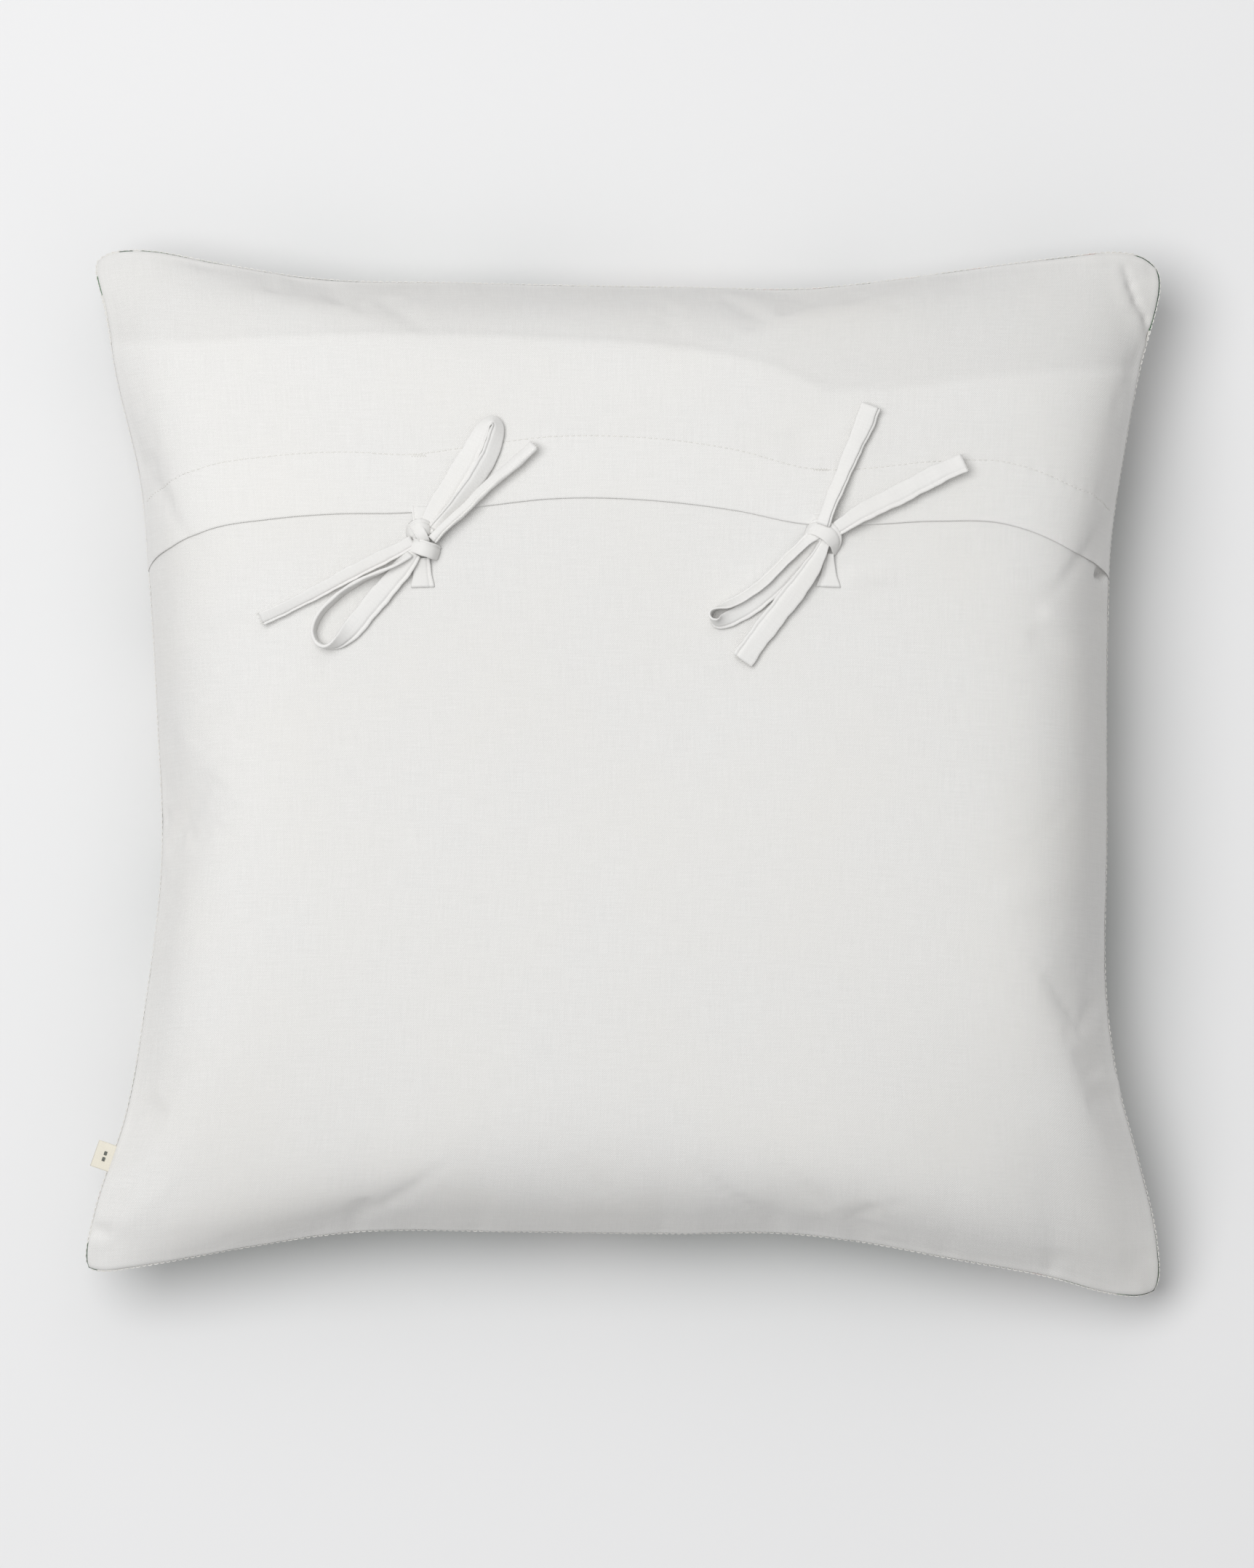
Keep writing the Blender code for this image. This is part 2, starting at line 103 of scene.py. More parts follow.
HEM_WIDTHS = [  # (x, width) of the flap's hem, which is pulled narrower at the bows
    (-0.300, 0.0345), (-0.200, 0.0346), (-0.140, 0.0335), (-0.112, 0.0318), (-0.080, 0.0332),
    (-0.020, 0.0340), (0.060, 0.0330), (0.110, 0.0302), (0.170, 0.0330), (0.300, 0.0340),
]
TIP_REACH = 19 * MM  # how near a tip the outline starts to be blunted
TIP_BLUNTING = 6.2 * MM
CLOTH_THICK = 0.5 * MM
FLAP_CLOTH_THICK = 0.35 * MM
FLOOR_GAP = 0.2 * MM
INSERT_INSET = 8.4 * MM
FILLING_INSET = 12.6 * MM
INSERT_SEAM_INSET = 11.5 * MM
UNDERLAP_HEM = 12 * MM
HEM_STEP = 1.3 * MM  # how far the flap's hemmed edge stands over the panel below
HEM_GROOVE = 0.42 * MM  # how far its stitching pulls it in
HEM_WAVE = 0.16 * MM  # how uneven the cloth is beside its stitching
UNDERLAP_STEP = 1.5 * MM  # how far the flap sinks where the panel below it ends
SIDE_GAP = (0.2626, 0.1116)  # middle of the gap where the flap's edge runs into the right side's seam
SIDE_GAP_DEPTH = 5.4 * MM
SIDE_GAP_REACH = 3.1 * MM
SIDE_GAP_STRETCH = 1.5  # how many times longer the gap is along the seam than across it

GRID = 96  # simulated cells along each side
SIM_FRAMES = 26
CLOTH_SETTINGS = {
    "quality": 6,
    "mass": 0.3,
    "tension_stiffness": 30,
    "compression_stiffness": 15,
    "shear_stiffness": 6,
    "bending_stiffness": 0.6,
    "air_damping": 3,
    "use_pressure": True,
    "uniform_pressure_force": 1.5,
}
PLUMPNESS = 1.45  # over 1, the cushion is flatter on top
RIM_EASE = 1.25  # over 1, it rises more gently at its seam
IRONING = 14  # how often the simulated cloth's heights are averaged with their neighbours
START_RISES = (0.066, -0.056)  # of the upper and lower cloth, before they are blown up
START_ROUNDING = 3.2  # over 2, the start is flatter on top than a dome
START_FULLNESS = 0.62  # under 1, it rises more steeply at its seam
CUT = (0.612, 0.600)  # flat size of each cover panel, inside the seams
CUT_LIFT = 16 * MM  # how far the flat cuts lie off their common rim, so that they don't meet
FLAT_SHARE = 0.62  # how much of the cloth's rest shape is the flat cut, and not the plump start

CAMERA_HEIGHT = 5.0
VIEW_WIDTH = 0.6896  # of the seam's plane, across the picture
IMAGE_WIDTH, IMAGE_HEIGHT = 1724, 2156
VIEW_CENTRE = (0.0030, -0.0042)


# ---- small tools ----


def smooth_line(points):
    """A smooth function through (place, value) points, for numbers or arrays."""
    xs = np.array([p[0] for p in points], float)
    ys = np.array([p[1] for p in points], float)
    slopes = np.gradient(ys, xs)

    def value(x):
        x = np.clip(np.asarray(x, float), xs[0], xs[-1])
        k = np.clip(np.searchsorted(xs, x) - 1, 0, len(xs) - 2)
        width = xs[k + 1] - xs[k]
        t = (x - xs[k]) / width
        a = (1 + 2 * t) * (1 - t) ** 2
        b = t * (1 - t) ** 2
        c = t * t * (3 - 2 * t)
        d = t * t * (t - 1)
        return a * ys[k] + b * width * slopes[k] + c * ys[k + 1] + d * width * slopes[k + 1]

    return value


def step(low, high, x):
    """0 below low, 1 above high and smooth between them."""
    t = np.clip((np.asarray(x, float) - low) / (high - low), 0.0, 1.0)
    return t * t * (3.0 - 2.0 * t)


def bump(x, width):
    """A bell of height 1 round 0."""
    return np.exp(-((np.asarray(x, float) / width) ** 2))


def unit(vectors):
    """Vectors of length 1 along the last axis."""
    return vectors / np.maximum(np.linalg.norm(vectors, axis=-1, keepdims=True), 1e-12)


def run_length(points):
    """How far along a line each of its points lies."""
    return np.concatenate([[0], np.cumsum(np.linalg.norm(np.diff(points, axis=0), axis=1))])


def paired(a, b):
    """An array of (a, b) pairs."""
    return np.stack(np.broadcast_arrays(a, b), -1)


def quads(number, around=False):
    """Faces between neighbours in a grid of point numbers, which may close on itself across."""
    rows, cols = number.shape
    for i in range(rows - 1):
        for j in range(cols if around else cols - 1):
            k = (j + 1) % cols
            yield [int(number[a, b]) for a, b in ((i, j), (i + 1, j), (i + 1, k), (i, k))]


def new_object(name, data):
    made = bpy.data.objects.new(name, data)
    bpy.context.scene.collection.objects.link(made)
    return made


PULLS = {side: smooth_line(points) for side, points in PULL_IN.items()}
flap_edge_y = smooth_line(FLAP_EDGE)
underlap_edge_y = smooth_line(UNDERLAP_EDGE)
hem_width = smooth_line(HEM_WIDTHS)


def outline_side(side, t):
    """Points of one side of the outline at t from -1 to 1, from left to right or low to high."""
    ends = {
        "low": ("left_low", "right_low", (0, 1)),
        "high": ("left_high", "right_high", (0, -1)),
        "left": ("left_low", "left_high", (1, 0)),
        "right": ("right_low", "right_high", (-1, 0)),
    }
    start, end, inwards = ends[side]
    s = (np.asarray(t, float)[..., None] + 1.0) / 2.0
    straight = np.array(CORNERS[start]) * (1 - s) + np.array(CORNERS[end]) * s
    return straight + PULLS[side](t)[..., None] * MM * np.array(inwards, float)


# ---- the cushion's surface ----


def between_sides(left, right, low, high, u, v):
    """Fills a grid from its four sides, as a patch stretched between them."""
    s, t = ((u + 1) / 2)[..., None], ((v + 1) / 2)[..., None]
    corners = (1 - t) * ((1 - s) * low[0] + s * low[-1]) + t * ((1 - s) * high[0] + s * high[-1])
    return (1 - s) * left[None] + s * right[None] + (1 - t) * low[:, None] + t * high[:, None] - corners


def plump_start(n):
    """Grids of the upper and lower cloth at the start: a plain dome over the outline, twice."""
    t = np.linspace(-1, 1, n + 1)
    u, v = np.meshgrid(t, t, indexing="ij")
    sides = [outline_side(side, t) for side in ("left", "right", "low", "high")]
    plan = between_sides(*sides, u, v)
    height = ((1 - np.abs(u) ** START_ROUNDING) * (1 - np.abs(v) ** START_ROUNDING)) ** START_FULLNESS
    return [np.concatenate([plan, (rise * height)[..., None]], -1) for rise in START_RISES]


def pillow_mesh(n):
    """Two panels sewn along their edges, as one mesh with its flat cut kept as a second shape."""
    starts = plump_start(n)
    numbers = [np.zeros((n + 1, n + 1), int) for _ in starts]
    plump, flat = [], []
    for i in range(n + 1):
        for j in range(n + 1):
            depth = min(i, n - i, j, n - j)
            for layer, side in ((0, 1), (1, -1)):
                if layer == 1 and depth == 0:
                    numbers[1][i, j] = numbers[0][i, j]
                    continue
                numbers[layer][i, j] = len(plump)
                plump.append(starts[layer][i, j])
                lift = side * CUT_LIFT * min(1.0, 8.0 * depth / n)
                flat.append(((i / n - 0.5) * CUT[0], (j / n - 0.5) * CUT[1], lift))
    faces = []
    for upper, lower in zip(quads(numbers[0]), quads(numbers[1])):
        faces += [upper, lower[::-1]]
    mesh = bpy.data.meshes.new("pillow")
    mesh.from_pydata([tuple(p) for p in plump], [], faces)
    pillow = new_object("pillow", mesh)
    pillow.shape_key_add(name="Basis")
    rest = pillow.shape_key_add(name="rest")
    for key, start, end in zip(rest.data, plump, flat):
        key.co = Vector(start).lerp(Vector(end), FLAT_SHARE)
    rest.value = 0.0
    return pillow, rest, numbers


def inflated_pillow(n):
    """Blows the cover up with a cloth simulation. Returns the grids of its upper and lower cloth."""
    pillow, rest, numbers = pillow_mesh(n)
    cloth = pillow.modifiers.new("Cloth", "CLOTH")
    cloth.settings.rest_shape_key = rest
    cloth.settings.effector_weights.gravity = 0
    for setting, value in CLOTH_SETTINGS.items():
        setattr(cloth.settings, setting, value)
    cloth.collision_settings.use_collision = False
    cloth.collision_settings.use_self_collision = False
    cloth.point_cache.frame_end = SIM_FRAMES
    scene = bpy.context.scene
    scene.frame_start, scene.frame_end = 1, SIM_FRAMES
    for number in range(1, SIM_FRAMES + 1):
        scene.frame_set(number)
    shown = pillow.evaluated_get(bpy.context.evaluated_depsgraph_get())
    points = np.array([v.co for v in shown.data.vertices], float)
    scene.frame_set(1)
    bpy.data.objects.remove(pillow)
    return points[numbers[0]], points[numbers[1]]


def rim_height(grid, u, v):
    """The height that the sewn rim alone would give a grid, to be taken off it."""
    z = grid[..., 2:3]
    return between_sides(z[0], z[-1], z[:, 0], z[:, -1], u, v)[..., 0]


def ironed(share):
    """Takes small wrinkles out of a grid of heights, and leaves its rim."""
    for _ in range(IRONING):
        beside = share[:-2, 1:-1] + share[2:, 1:-1] + share[1:-1, :-2] + share[1:-1, 2:]
        share[1:-1, 1:-1] = (share[1:-1, 1:-1] + beside) / 5
    return share


def drawn_to_outline(top, low):
    """Moves both grids so that their common rim follows the outline, and sets their heights."""
    n = len(top) - 1
    t = np.linspace(-1, 1, n + 1)
    u, v = np.meshgrid(t, t, indexing="ij")
    rim = top[..., :2]
    sides = {"left": rim[0], "right": rim[-1], "low": rim[:, 0], "high": rim[:, -1]}
    shift = between_sides(*(outline_side(side, t) - line for side, line in sides.items()), u, v)
    made = []
    for grid, rise in ((top, BACK_RISE), (low, -FACE_DROP)):
        new = grid.copy()
        new[..., :2] += shift
        share = np.abs(grid[..., 2] - rim_height(grid, u, v)) / np.abs(grid[..., 2]).max()
        share = ironed(np.clip(share, 0, 1))
        share = 1 - (1 - (share / share.max()) ** RIM_EASE) ** PLUMPNESS
        new[..., 2] = SEAM_Z + rise * share
        made.append(new)
    back, face = made
    blunt = np.zeros_like(shift)
    for name, tip in CORNERS.items():
        reach, drop = CORNER_DROOP[name]
        for grid in made:
            away = np.linalg.norm(grid[..., :2] - np.array(tip), axis=-1)
            grid[..., 2] -= drop * MM * np.clip(1 - away / reach, 0, 1) ** 2
        away = np.linalg.norm(back[..., :2] - np.array(tip), axis=-1)
        inwards = unit(-np.sign(tip))
        blunt += (np.clip(1 - away / TIP_REACH, 0, 1) ** 2)[..., None] * TIP_BLUNTING * inwards
    for grid in made:
        grid[..., :2] += blunt
    face[..., 2] = resting(face[..., 2])
    return back, face


def resting(height):
    """Heights as the floor leaves them: flat at the bottom, with a small round where they lift off."""
    soft = 4 * MM
    return FLOOR_GAP + soft * np.logaddexp(0.0, height / soft)


class Surface:
    """A smooth surface through a grid of points, read at (u, v) from -1 to 1."""

    def __init__(self, points, outwards):
        self.points = np.pad(points, ((1, 1), (1, 1), (0, 0)), mode="reflect", reflect_type="odd")
        self.n = len(points) - 1
        self.outwards = outwards

    def at(self, u, v):
        u, v = np.broadcast_arrays(np.asarray(u, float), np.asarray(v, float))
        place = []
        for t in (u, v):
            p = np.clip((t + 1) / 2, 0, 1) * self.n
            k = np.minimum(p.astype(int), self.n - 1)
            place.append((k, p - k))
        (i, a), (j, b) = place
        result = 0.0
        for di, wi in enumerate(cubic_weights(a)):
            for dj, wj in enumerate(cubic_weights(b)):
                result = result + (wi * wj)[..., None] * self.points[i + di, j + dj]
        return result

    def normal(self, u, v):
        d = 0.004
        along_u = self.at(np.minimum(u + d, 1), v) - self.at(np.maximum(u - d, -1), v)
        along_v = self.at(u, np.minimum(v + d, 1)) - self.at(u, np.maximum(v - d, -1))
        return unit(np.cross(along_u, along_v) * self.outwards)


def cubic_weights(t):
    """Catmull-Rom weights of the four points round t."""
    return (
        (-t + 2 * t**2 - t**3) / 2,
        (2 - 5 * t**2 + 3 * t**3) / 2,
        (t + 4 * t**2 - 3 * t**3) / 2,
        (t**3 - t**2) / 2,
    )


grids = drawn_to_outline(*inflated_pillow(GRID))
back = Surface(grids[0], 1)
face = Surface(grids[1], -1)


def as_seen(points):
    """Where points show from the camera, as x and y on the plane of the seam."""
    nearer = 1 - (points[..., 2] - SEAM_Z) / CAMERA_HEIGHT
    return [middle + (points[..., k] - middle) / nearer for k, middle in enumerate(VIEW_CENTRE)]


# ---- folds and wrinkles ----

DRAG_FOLDS = [  # pulled folds on the back: start, end, height in mm and half width in mm
    ((0.119, 0.1118), (0.160, 0.1080), 1.3, 3.6),
    ((0.118, 0.1065), (0.150, 0.1035), 0.5, 4.5),
    ((-0.101, 0.1130), (-0.072, 0.1120), 0.6, 3.0),
    ((0.228, 0.0925), (0.262, 0.0780), 1.6, 5.5),
    ((0.222, 0.0800), (0.252, 0.0660), -0.9, 6.0),
    ((0.256, -0.1640), (0.284, -0.1760), 1.4, 5.0),
    ((0.200, -0.0700), (0.262, -0.0560), 0.7, 9.0),
    ((0.130, 0.2010), (0.109, 0.1700), 0.8, 7.0),
    ((0.095, 0.1950), (0.103, 0.1660), -0.6, 8.0),
    ((-0.270, 0.2630), (-0.225, 0.2180), 1.0, 9.0),
    ((-0.282, -0.2560), (-0.235, -0.2080), 0.9, 8.0),
    ((-0.292, -0.2480), (-0.276, -0.2530), -1.6, 4.0),
    ((0.285, -0.2700), (0.242, -0.2280), 1.0, 9.0),
    ((-0.235, 0.0870), (-0.185, 0.1010), 0.6, 7.0),
]
EAR_CREASE = [  # (x, y) along the crease that cuts off the high right corner
    (0.2770, 0.2790), (0.2802, 0.2700), (0.2830, 0.2620), (0.2880, 0.2515), (0.2894, 0.2410),
]
EAR_CREASE_DEPTH = 1.3 * MM
EAR_CREASE_WIDTH = 2.1 * MM
EAR_SWELL_HEIGHT = 0.4 * MM  # of the soft swell beside the crease, on its inner side
EAR_SWELL_WIDTH = 4.2 * MM
EAR_SWELL_SHIFT = (4.2 * MM, 1.5 * MM)
SEAM_PUCKERS = {  # places along each side from -1 to 1, height in mm and half width in mm
    "low": [(-0.49, -1.3, 8), (-0.42, 0.8, 7), (-0.27, -1.0, 8), (-0.10, 0.6, 9), (0.07, -1.2, 7),
            (0.14, 0.7, 7), (0.28, -1.3, 8), (0.40, 0.9, 7), (0.60, -0.9, 9), (0.79, -1.5, 7)],
    "high": [(-0.62, -0.5, 13), (-0.30, 0.5, 12), (0.02, -0.5, 12), (0.33, 0.6, 12), (0.61, -0.7, 12)],
    "left": [(-0.70, -0.7, 12), (-0.36, 0.6, 11), (-0.04, -0.6, 11), (0.22, 0.5, 11), (0.58, -0.7, 13)],
    "right": [(-0.60, -0.9, 12), (-0.50, 0.7, 11), (-0.25, -0.6, 13), (0.02, 0.5, 12), (0.18, -0.7, 12),
              (0.31, -1.2, 9), (0.39, 0.8, 8), (0.66, -0.7, 12)],
}
PUCKER_REACH = 34 * MM
GATHER_REACH = 9 * MM  # of the fine gathers that the stitching makes between the puckers
GATHER_HEIGHT = 0.35 * MM
LIP_HEIGHT = 1.1 * MM  # how far the cloth swells up beside its seam
HALF = 0.30  # about half a side, to turn a share of it into metres
random.seed(11)
SWELLS = [  # slow swells of the filling: wave numbers over x and y, a phase and a height in mm
    (random.uniform(-38, 38), random.uniform(-38, 38), random.uniform(0, 6.28), random.uniform(0.15, 0.5))
    for _ in range(9)
]


def near_segment(x, y, start, end):
    """Distance from each (x, y) to a segment, and the place along it from 0 to 1."""
    along = np.array(end) - np.array(start)
    t = ((x - start[0]) * along[0] + (y - start[1]) * along[1]) / (along @ along)
    t = np.clip(t, 0, 1)
    return np.hypot(x - start[0] - t * along[0], y - start[1] - t * along[1]), t


def rim_distances(u, v):
    """About how far each point lies from each side's seam, in metres of cloth."""
    return {"left": (1 + u) * HALF, "right": (1 - u) * HALF, "low": (1 + v) * HALF, "high": (1 - v) * HALF}


def seam_distance(u, v):
    return np.minimum.reduce(list(rim_distances(u, v).values()))


def puckers(u, v, gain=1.0):
    """Short wrinkles that run inwards from the seam, where the stitching gathers the cloth."""
    total = np.zeros(np.broadcast(u, v).shape)
    away = rim_distances(u, v)
    for side, marks in SEAM_PUCKERS.items():
        place = u if side in ("low", "high") else v
        reach = np.exp(-away[side] / PUCKER_REACH) * step(0, 5 * MM, away[side])
        for at, height, width in marks:
            widening = width * MM * (0.55 + 12 * away[side]) / HALF  # wider further in
            total += gain * height * MM * reach * bump(place - at, widening)
        fine = np.sin(place * 71 + 3 * np.sin(place * 13)) * np.sin(place * 29 + 1.3)
        reach = np.exp(-away[side] / GATHER_REACH) * step(0, 3 * MM, away[side])
        total += gain * GATHER_HEIGHT * fine * reach
    return total


def seam_lip(u, v):
    """The cloth swells a little beside its seam, so that the stitching sits in a groove."""
    d = seam_distance(u, v)
    return LIP_HEIGHT * step(0, 2.4 * MM, d) * (1 - step(4 * MM, 22 * MM, d))


def back_relief(u, v, x, y):
    """Everything that both panels of the back share: folds, puckers and slow swells."""
    total = puckers(u, v) + seam_lip(u, v)
    for start, end, height, width in DRAG_FOLDS:
        distance, t = near_segment(x, y, start, end)
        total += height * MM * bump(distance, width * MM) * step(0, 0.25, t) * (1 - step(0.35, 1.0, t))
    for start, end in zip(EAR_CREASE, EAR_CREASE[1:]):
        distance, _ = near_segment(x, y, start, end)
        total -= EAR_CREASE_DEPTH * bump(distance, EAR_CREASE_WIDTH)
        distance, _ = near_segment(x + EAR_SWELL_SHIFT[0], y + EAR_SWELL_SHIFT[1], start, end)
        total += EAR_SWELL_HEIGHT * bump(distance, EAR_SWELL_WIDTH)
    inner = step(0.01, 0.07, seam_distance(u, v))
    for kx, ky, phase, height in SWELLS:
        total += height * MM * inner * np.sin(kx * x + ky * y + phase)
    return total


def face_relief(u, v):
    """The face's puckers, which fade where the floor flattens it."""
    height = face.at(u, v)[..., 2]
    return (puckers(-u, v, 0.8) + seam_lip(u, v)) * step(0.004, 0.02, height)


# ---- making meshes ----


def grid_mesh(name, points, cloth, material, around=False, caps=False):
    """An object from a grid of points. cloth holds each point's place on the flat cloth, in metres."""
    rows, cols = points.shape[:2]
    number = np.arange(rows * cols).reshape(rows, cols)
    faces = list(quads(number, around))
    if caps:
        faces += [number[0], number[-1][::-1]]
    return mesh_object(name, points.reshape(-1, 3), faces, cloth.reshape(-1, 2), material)


def mesh_object(name, points, faces, cloth, material):
    mesh = bpy.data.meshes.new(name)
    mesh.from_pydata(np.asarray(points, float).tolist(), [], [[int(k) for k in f] for f in faces])
    flat = np.zeros((len(points), 3), np.float32)
    flat[:, :2] = cloth
    mesh.attributes.new("cloth", "FLOAT_VECTOR", "POINT").data.foreach_set("vector", flat.ravel())
    mesh.materials.append(material)
    mesh.shade_smooth()
    mesh.update()
    return new_object(name, mesh)


def paint_layer_light(piece, layer_light):
    """Stores how much paler each point is painted, as light from cloth below: 0 is one layer, 1 several."""
    marks = piece.data.attributes.new("layer_light", "FLOAT", "POINT")
    marks.data.foreach_set("value", np.asarray(layer_light, np.float32).ravel())


def with_thickness(piece, thickness):
    """Gives an open cloth mesh its thickness, inwards."""
    solid = piece.modifiers.new("thickness", "SOLIDIFY")
    solid.thickness = thickness
    solid.offset = -1
    return piece


def settle(piece, body, slot, *nodes):
    """Makes a piece ride on a body and stand for CAD nodes. Its slot is not used."""
    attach(piece, body)
    if nodes:
        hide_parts(*nodes)
    return piece


def merged(name, parts, material):
    """One object from a list of (points, faces), each with its own vertex numbers."""
    points, faces, start = [], [], 0
    for part_points, part_faces in parts:
        points.append(np.asarray(part_points, float))
        faces += [[k + start for k in f] for f in part_faces]
        start += len(part_points)
    points = np.concatenate(points)
    return mesh_object(name, points, faces, points[:, :2], material)


def strand(points, radii, sides=6):
    """A thin tube along points, as (points, faces)."""
    points = np.asarray(points, float)
    ring_points, faces = [], []
    for k, (point, radius) in enumerate(zip(points, radii)):
        along = unit(points[min(k + 1, len(points) - 1)] - points[max(k - 1, 0)])
        side = unit(np.cross(along, (0, 0, 1) if abs(along[2]) < 0.9 else (1, 0, 0)))
        up = np.cross(side, along)
        for m in range(sides):
            a = 2 * math.pi * m / sides
            ring_points.append(point + radius * (math.cos(a) * side + math.sin(a) * up))
    for k in range(len(points) - 1):
        for m in range(sides):
            n = (m + 1) % sides
            faces.append((k * sides + m, k * sides + n, (k + 1) * sides + n, (k + 1) * sides + m))
    faces.append(tuple(range(sides - 1, -1, -1)))
    faces.append(tuple(range((len(points) - 1) * sides, len(points) * sides)))
    return ring_points, faces


STITCH_PROFILE = [  # place along a stitch, and its lift and thickness as shares of its radius
    (0, -1.2, 0.7), (0.06, 0.1, 1), (0.3, 0.75, 1), (0.7, 0.75, 1), (0.94, 0.1, 1), (1, -1.2, 0.7),
]


def stitch(start, end, normal, radius):
    """One stitch: a thread that comes up out of the cloth, lies on it and goes down again."""
    start, end, normal = (np.asarray(p, float) for p in (start, end, normal))
    points = [start + (end - start) * t + normal * lift * radius for t, lift, _ in STITCH_PROFILE]
    return strand(points, [radius * share for _, _, share in STITCH_PROFILE])


def stitched_line(name, line, normals, pitch, gap, radius, material):
    """Separate stitches along a line of points, with a little unevenness."""
    reach = run_length(line)
    parts = []
    place = pitch / 2
    while place + pitch < reach[-1]:
        ends = []
        for s in (place, place + pitch - gap):
            s += random.uniform(-0.06, 0.06) * pitch
            ends.append([np.array([np.interp(s, reach, values[:, k]) for k in range(3)])
                         for values in (line, normals)])
        (start, normal), (end, _) = ends
        parts.append(stitch(start, end, normal, radius * random.uniform(0.92, 1.08)))
        place += pitch
    return merged(name, parts, material)


# ---- the cover ----


class Columns:
    """Lengths along a surface in each of its columns, so that rows can be placed by distance."""

    def __init__(self, surface, us):
        self.surface = surface
        self.us = us
        self.vs = np.linspace(-1, 1, 401)
        points = surface.at(us[:, None], self.vs[None])
        steps = np.linalg.norm(np.diff(points, axis=1), axis=-1)
        self.length = np.concatenate([np.zeros((len(us), 1)), np.cumsum(steps, axis=1)], axis=1)

    def length_at(self, v):
        return np.array([np.interp(a, self.vs, row) for a, row in zip(v, self.length)])

    def v_at(self, lengths):
        return np.array([np.interp(a, row, self.vs) for a, row in zip(lengths, self.length)])

    def crossing(self, edge_y):
        """The v in each column where the surface passes under a curve that is given from above."""
        low, high = np.full(len(self.us), -0.6), np.full(len(self.us), 0.985)
        for _ in range(30):
            middle = (low + high) / 2
            x, y = as_seen(self.surface.at(self.us, middle))
            beyond = y > edge_y(x)
            high = np.where(beyond, middle, high)
            low = np.where(beyond, low, middle)
        return (low + high) / 2


def spread(count):
    """Places from -1 to 1, closer together at the ends."""
    t = np.linspace(-1, 1, count)
    evenness = 0.62
    return evenness * t + (1 - evenness) * np.sin(math.pi / 2 * t)


def cloth_place(u, v):
    """Where a point lies on the flat cut."""
    return paired(u * CUT[0] / 2, v * CUT[1] / 2)


COLUMN_COUNT = 231
columns = Columns(back, spread(COLUMN_COUNT))
flap_v = columns.crossing(flap_edge_y)
under_v = columns.crossing(underlap_edge_y)
stitched = np.abs(columns.us) < 0.985  # the columns where the hems' stitching shows, clear of the seams


def laid(surface, u, v, relief, lift):
    """Points of a surface raised by its relief and by lift."""
    return surface.at(u, v) + surface.normal(u, v) * (relief + lift)[..., None]


def over_columns(v):
    """A grid of v over the columns, with its u, its places as seen from above and its relief."""
    u = np.broadcast_to(columns.us[:, None], v.shape)
    x, y = as_seen(back.at(u, v))
    return u, x, y, back_relief(u, v, x, y)


def add_flap(canvas):
    """The flap: folded under along its hem, and sewn into the side and high seams."""
    start = columns.length_at(flap_v)
    end = columns.length[:, -1]
    folded = [-0.014, -0.010, -0.006, -0.003, -0.0012, -0.0004]  # under the hem, from its inner end
    edge = [0.0, 0.0003, 0.0007, 0.0014, 0.0025, 0.004]  # round its free edge
    flat = [HEM * k / 11 for k in range(2, 11)]  # over the hem
    sewn = [HEM + k * 0.45 * MM for k in range(-5, 6)]  # across the groove of its stitching
    near = [HEM + 0.0045 + k * 0.0028 for k in range(3)]  # beyond it
    fixed = [-a for a in folded] + edge + flat + sewn + near
    t = np.linspace(0, 1, 65)[1:]
    shares = 0.5 * np.sin(math.pi / 2 * t) + 0.5 * t
    width = hem_width(back.at(columns.us, flap_v)[:, 0])[:, None]
    near_hem = np.clip((np.array(fixed) - edge[-1]) / (sewn[0] - edge[-1]), 0, 1)
    close = np.array(fixed) + (width - HEM) * near_hem
    room = (end - start)[:, None] - close[:, -1:]
    offsets = np.concatenate([close, close[:, -1:] + room * shares], axis=1)
    v = columns.v_at(start[:, None] + offsets)
    v[:, -1] = 1.0
    u, x, y, relief = over_columns(v)
    from_hem = offsets - width
    lift = np.zeros_like(v)
    under = len(folded)
    lift[:, :under] = np.linspace(0.15, 0.25, under) * MM
    lift[:, under:] = HEM_STEP * (1 - 0.3 * step(-0.3 * MM, 2.2 * MM, from_hem[:, under:]))
    for k, share in enumerate((0.5, 0.8, 0.94, 1.0)):
        lift[:, under + k] = HEM_STEP * share
    beyond = y - underlap_edge_y(x)
    lift[:, under:] -= UNDERLAP_STEP * step(-2 * MM, 4 * MM, beyond[:, under:])
    groove = HEM_GROOVE * bump(from_hem, 0.55 * MM)
    wave = HEM_WAVE * np.sin(u * 210 + 2 * np.sin(u * 37)) * bump(from_hem, 5 * MM)
    lift[:, under:] += (wave - groove)[:, under:]
    side = np.minimum(1 - u, 1 + u) * HALF
    lift *= 0.3 + 0.7 * step(0, 16 * MM, side)
    lift *= step(0, 5 * MM, end[:, None] - start[:, None] - offsets)
    flap = grid_mesh("flap_cloth", laid(back, u, v, relief, lift), cloth_place(u, v), canvas)
    # Painted light: paler where the flap lies over the panel below and where its hem folds under.
    paint_layer_light(flap, 0.85 * (1 - step(-2 * MM, 5 * MM, beyond)) + 0.15 * (from_hem < 0))
    settle(with_thickness(flap, FLAP_CLOTH_THICK), "cushion", "off_white_canvas", "flap_panel")
    row = int(np.argmin(np.abs(from_hem[0])))
    mesh_points = np.array([vert.co for vert in flap.data.vertices]).reshape(*v.shape, 3)
    return flap, mesh_points[stitched, row], back.normal(u, v)[stitched, row]


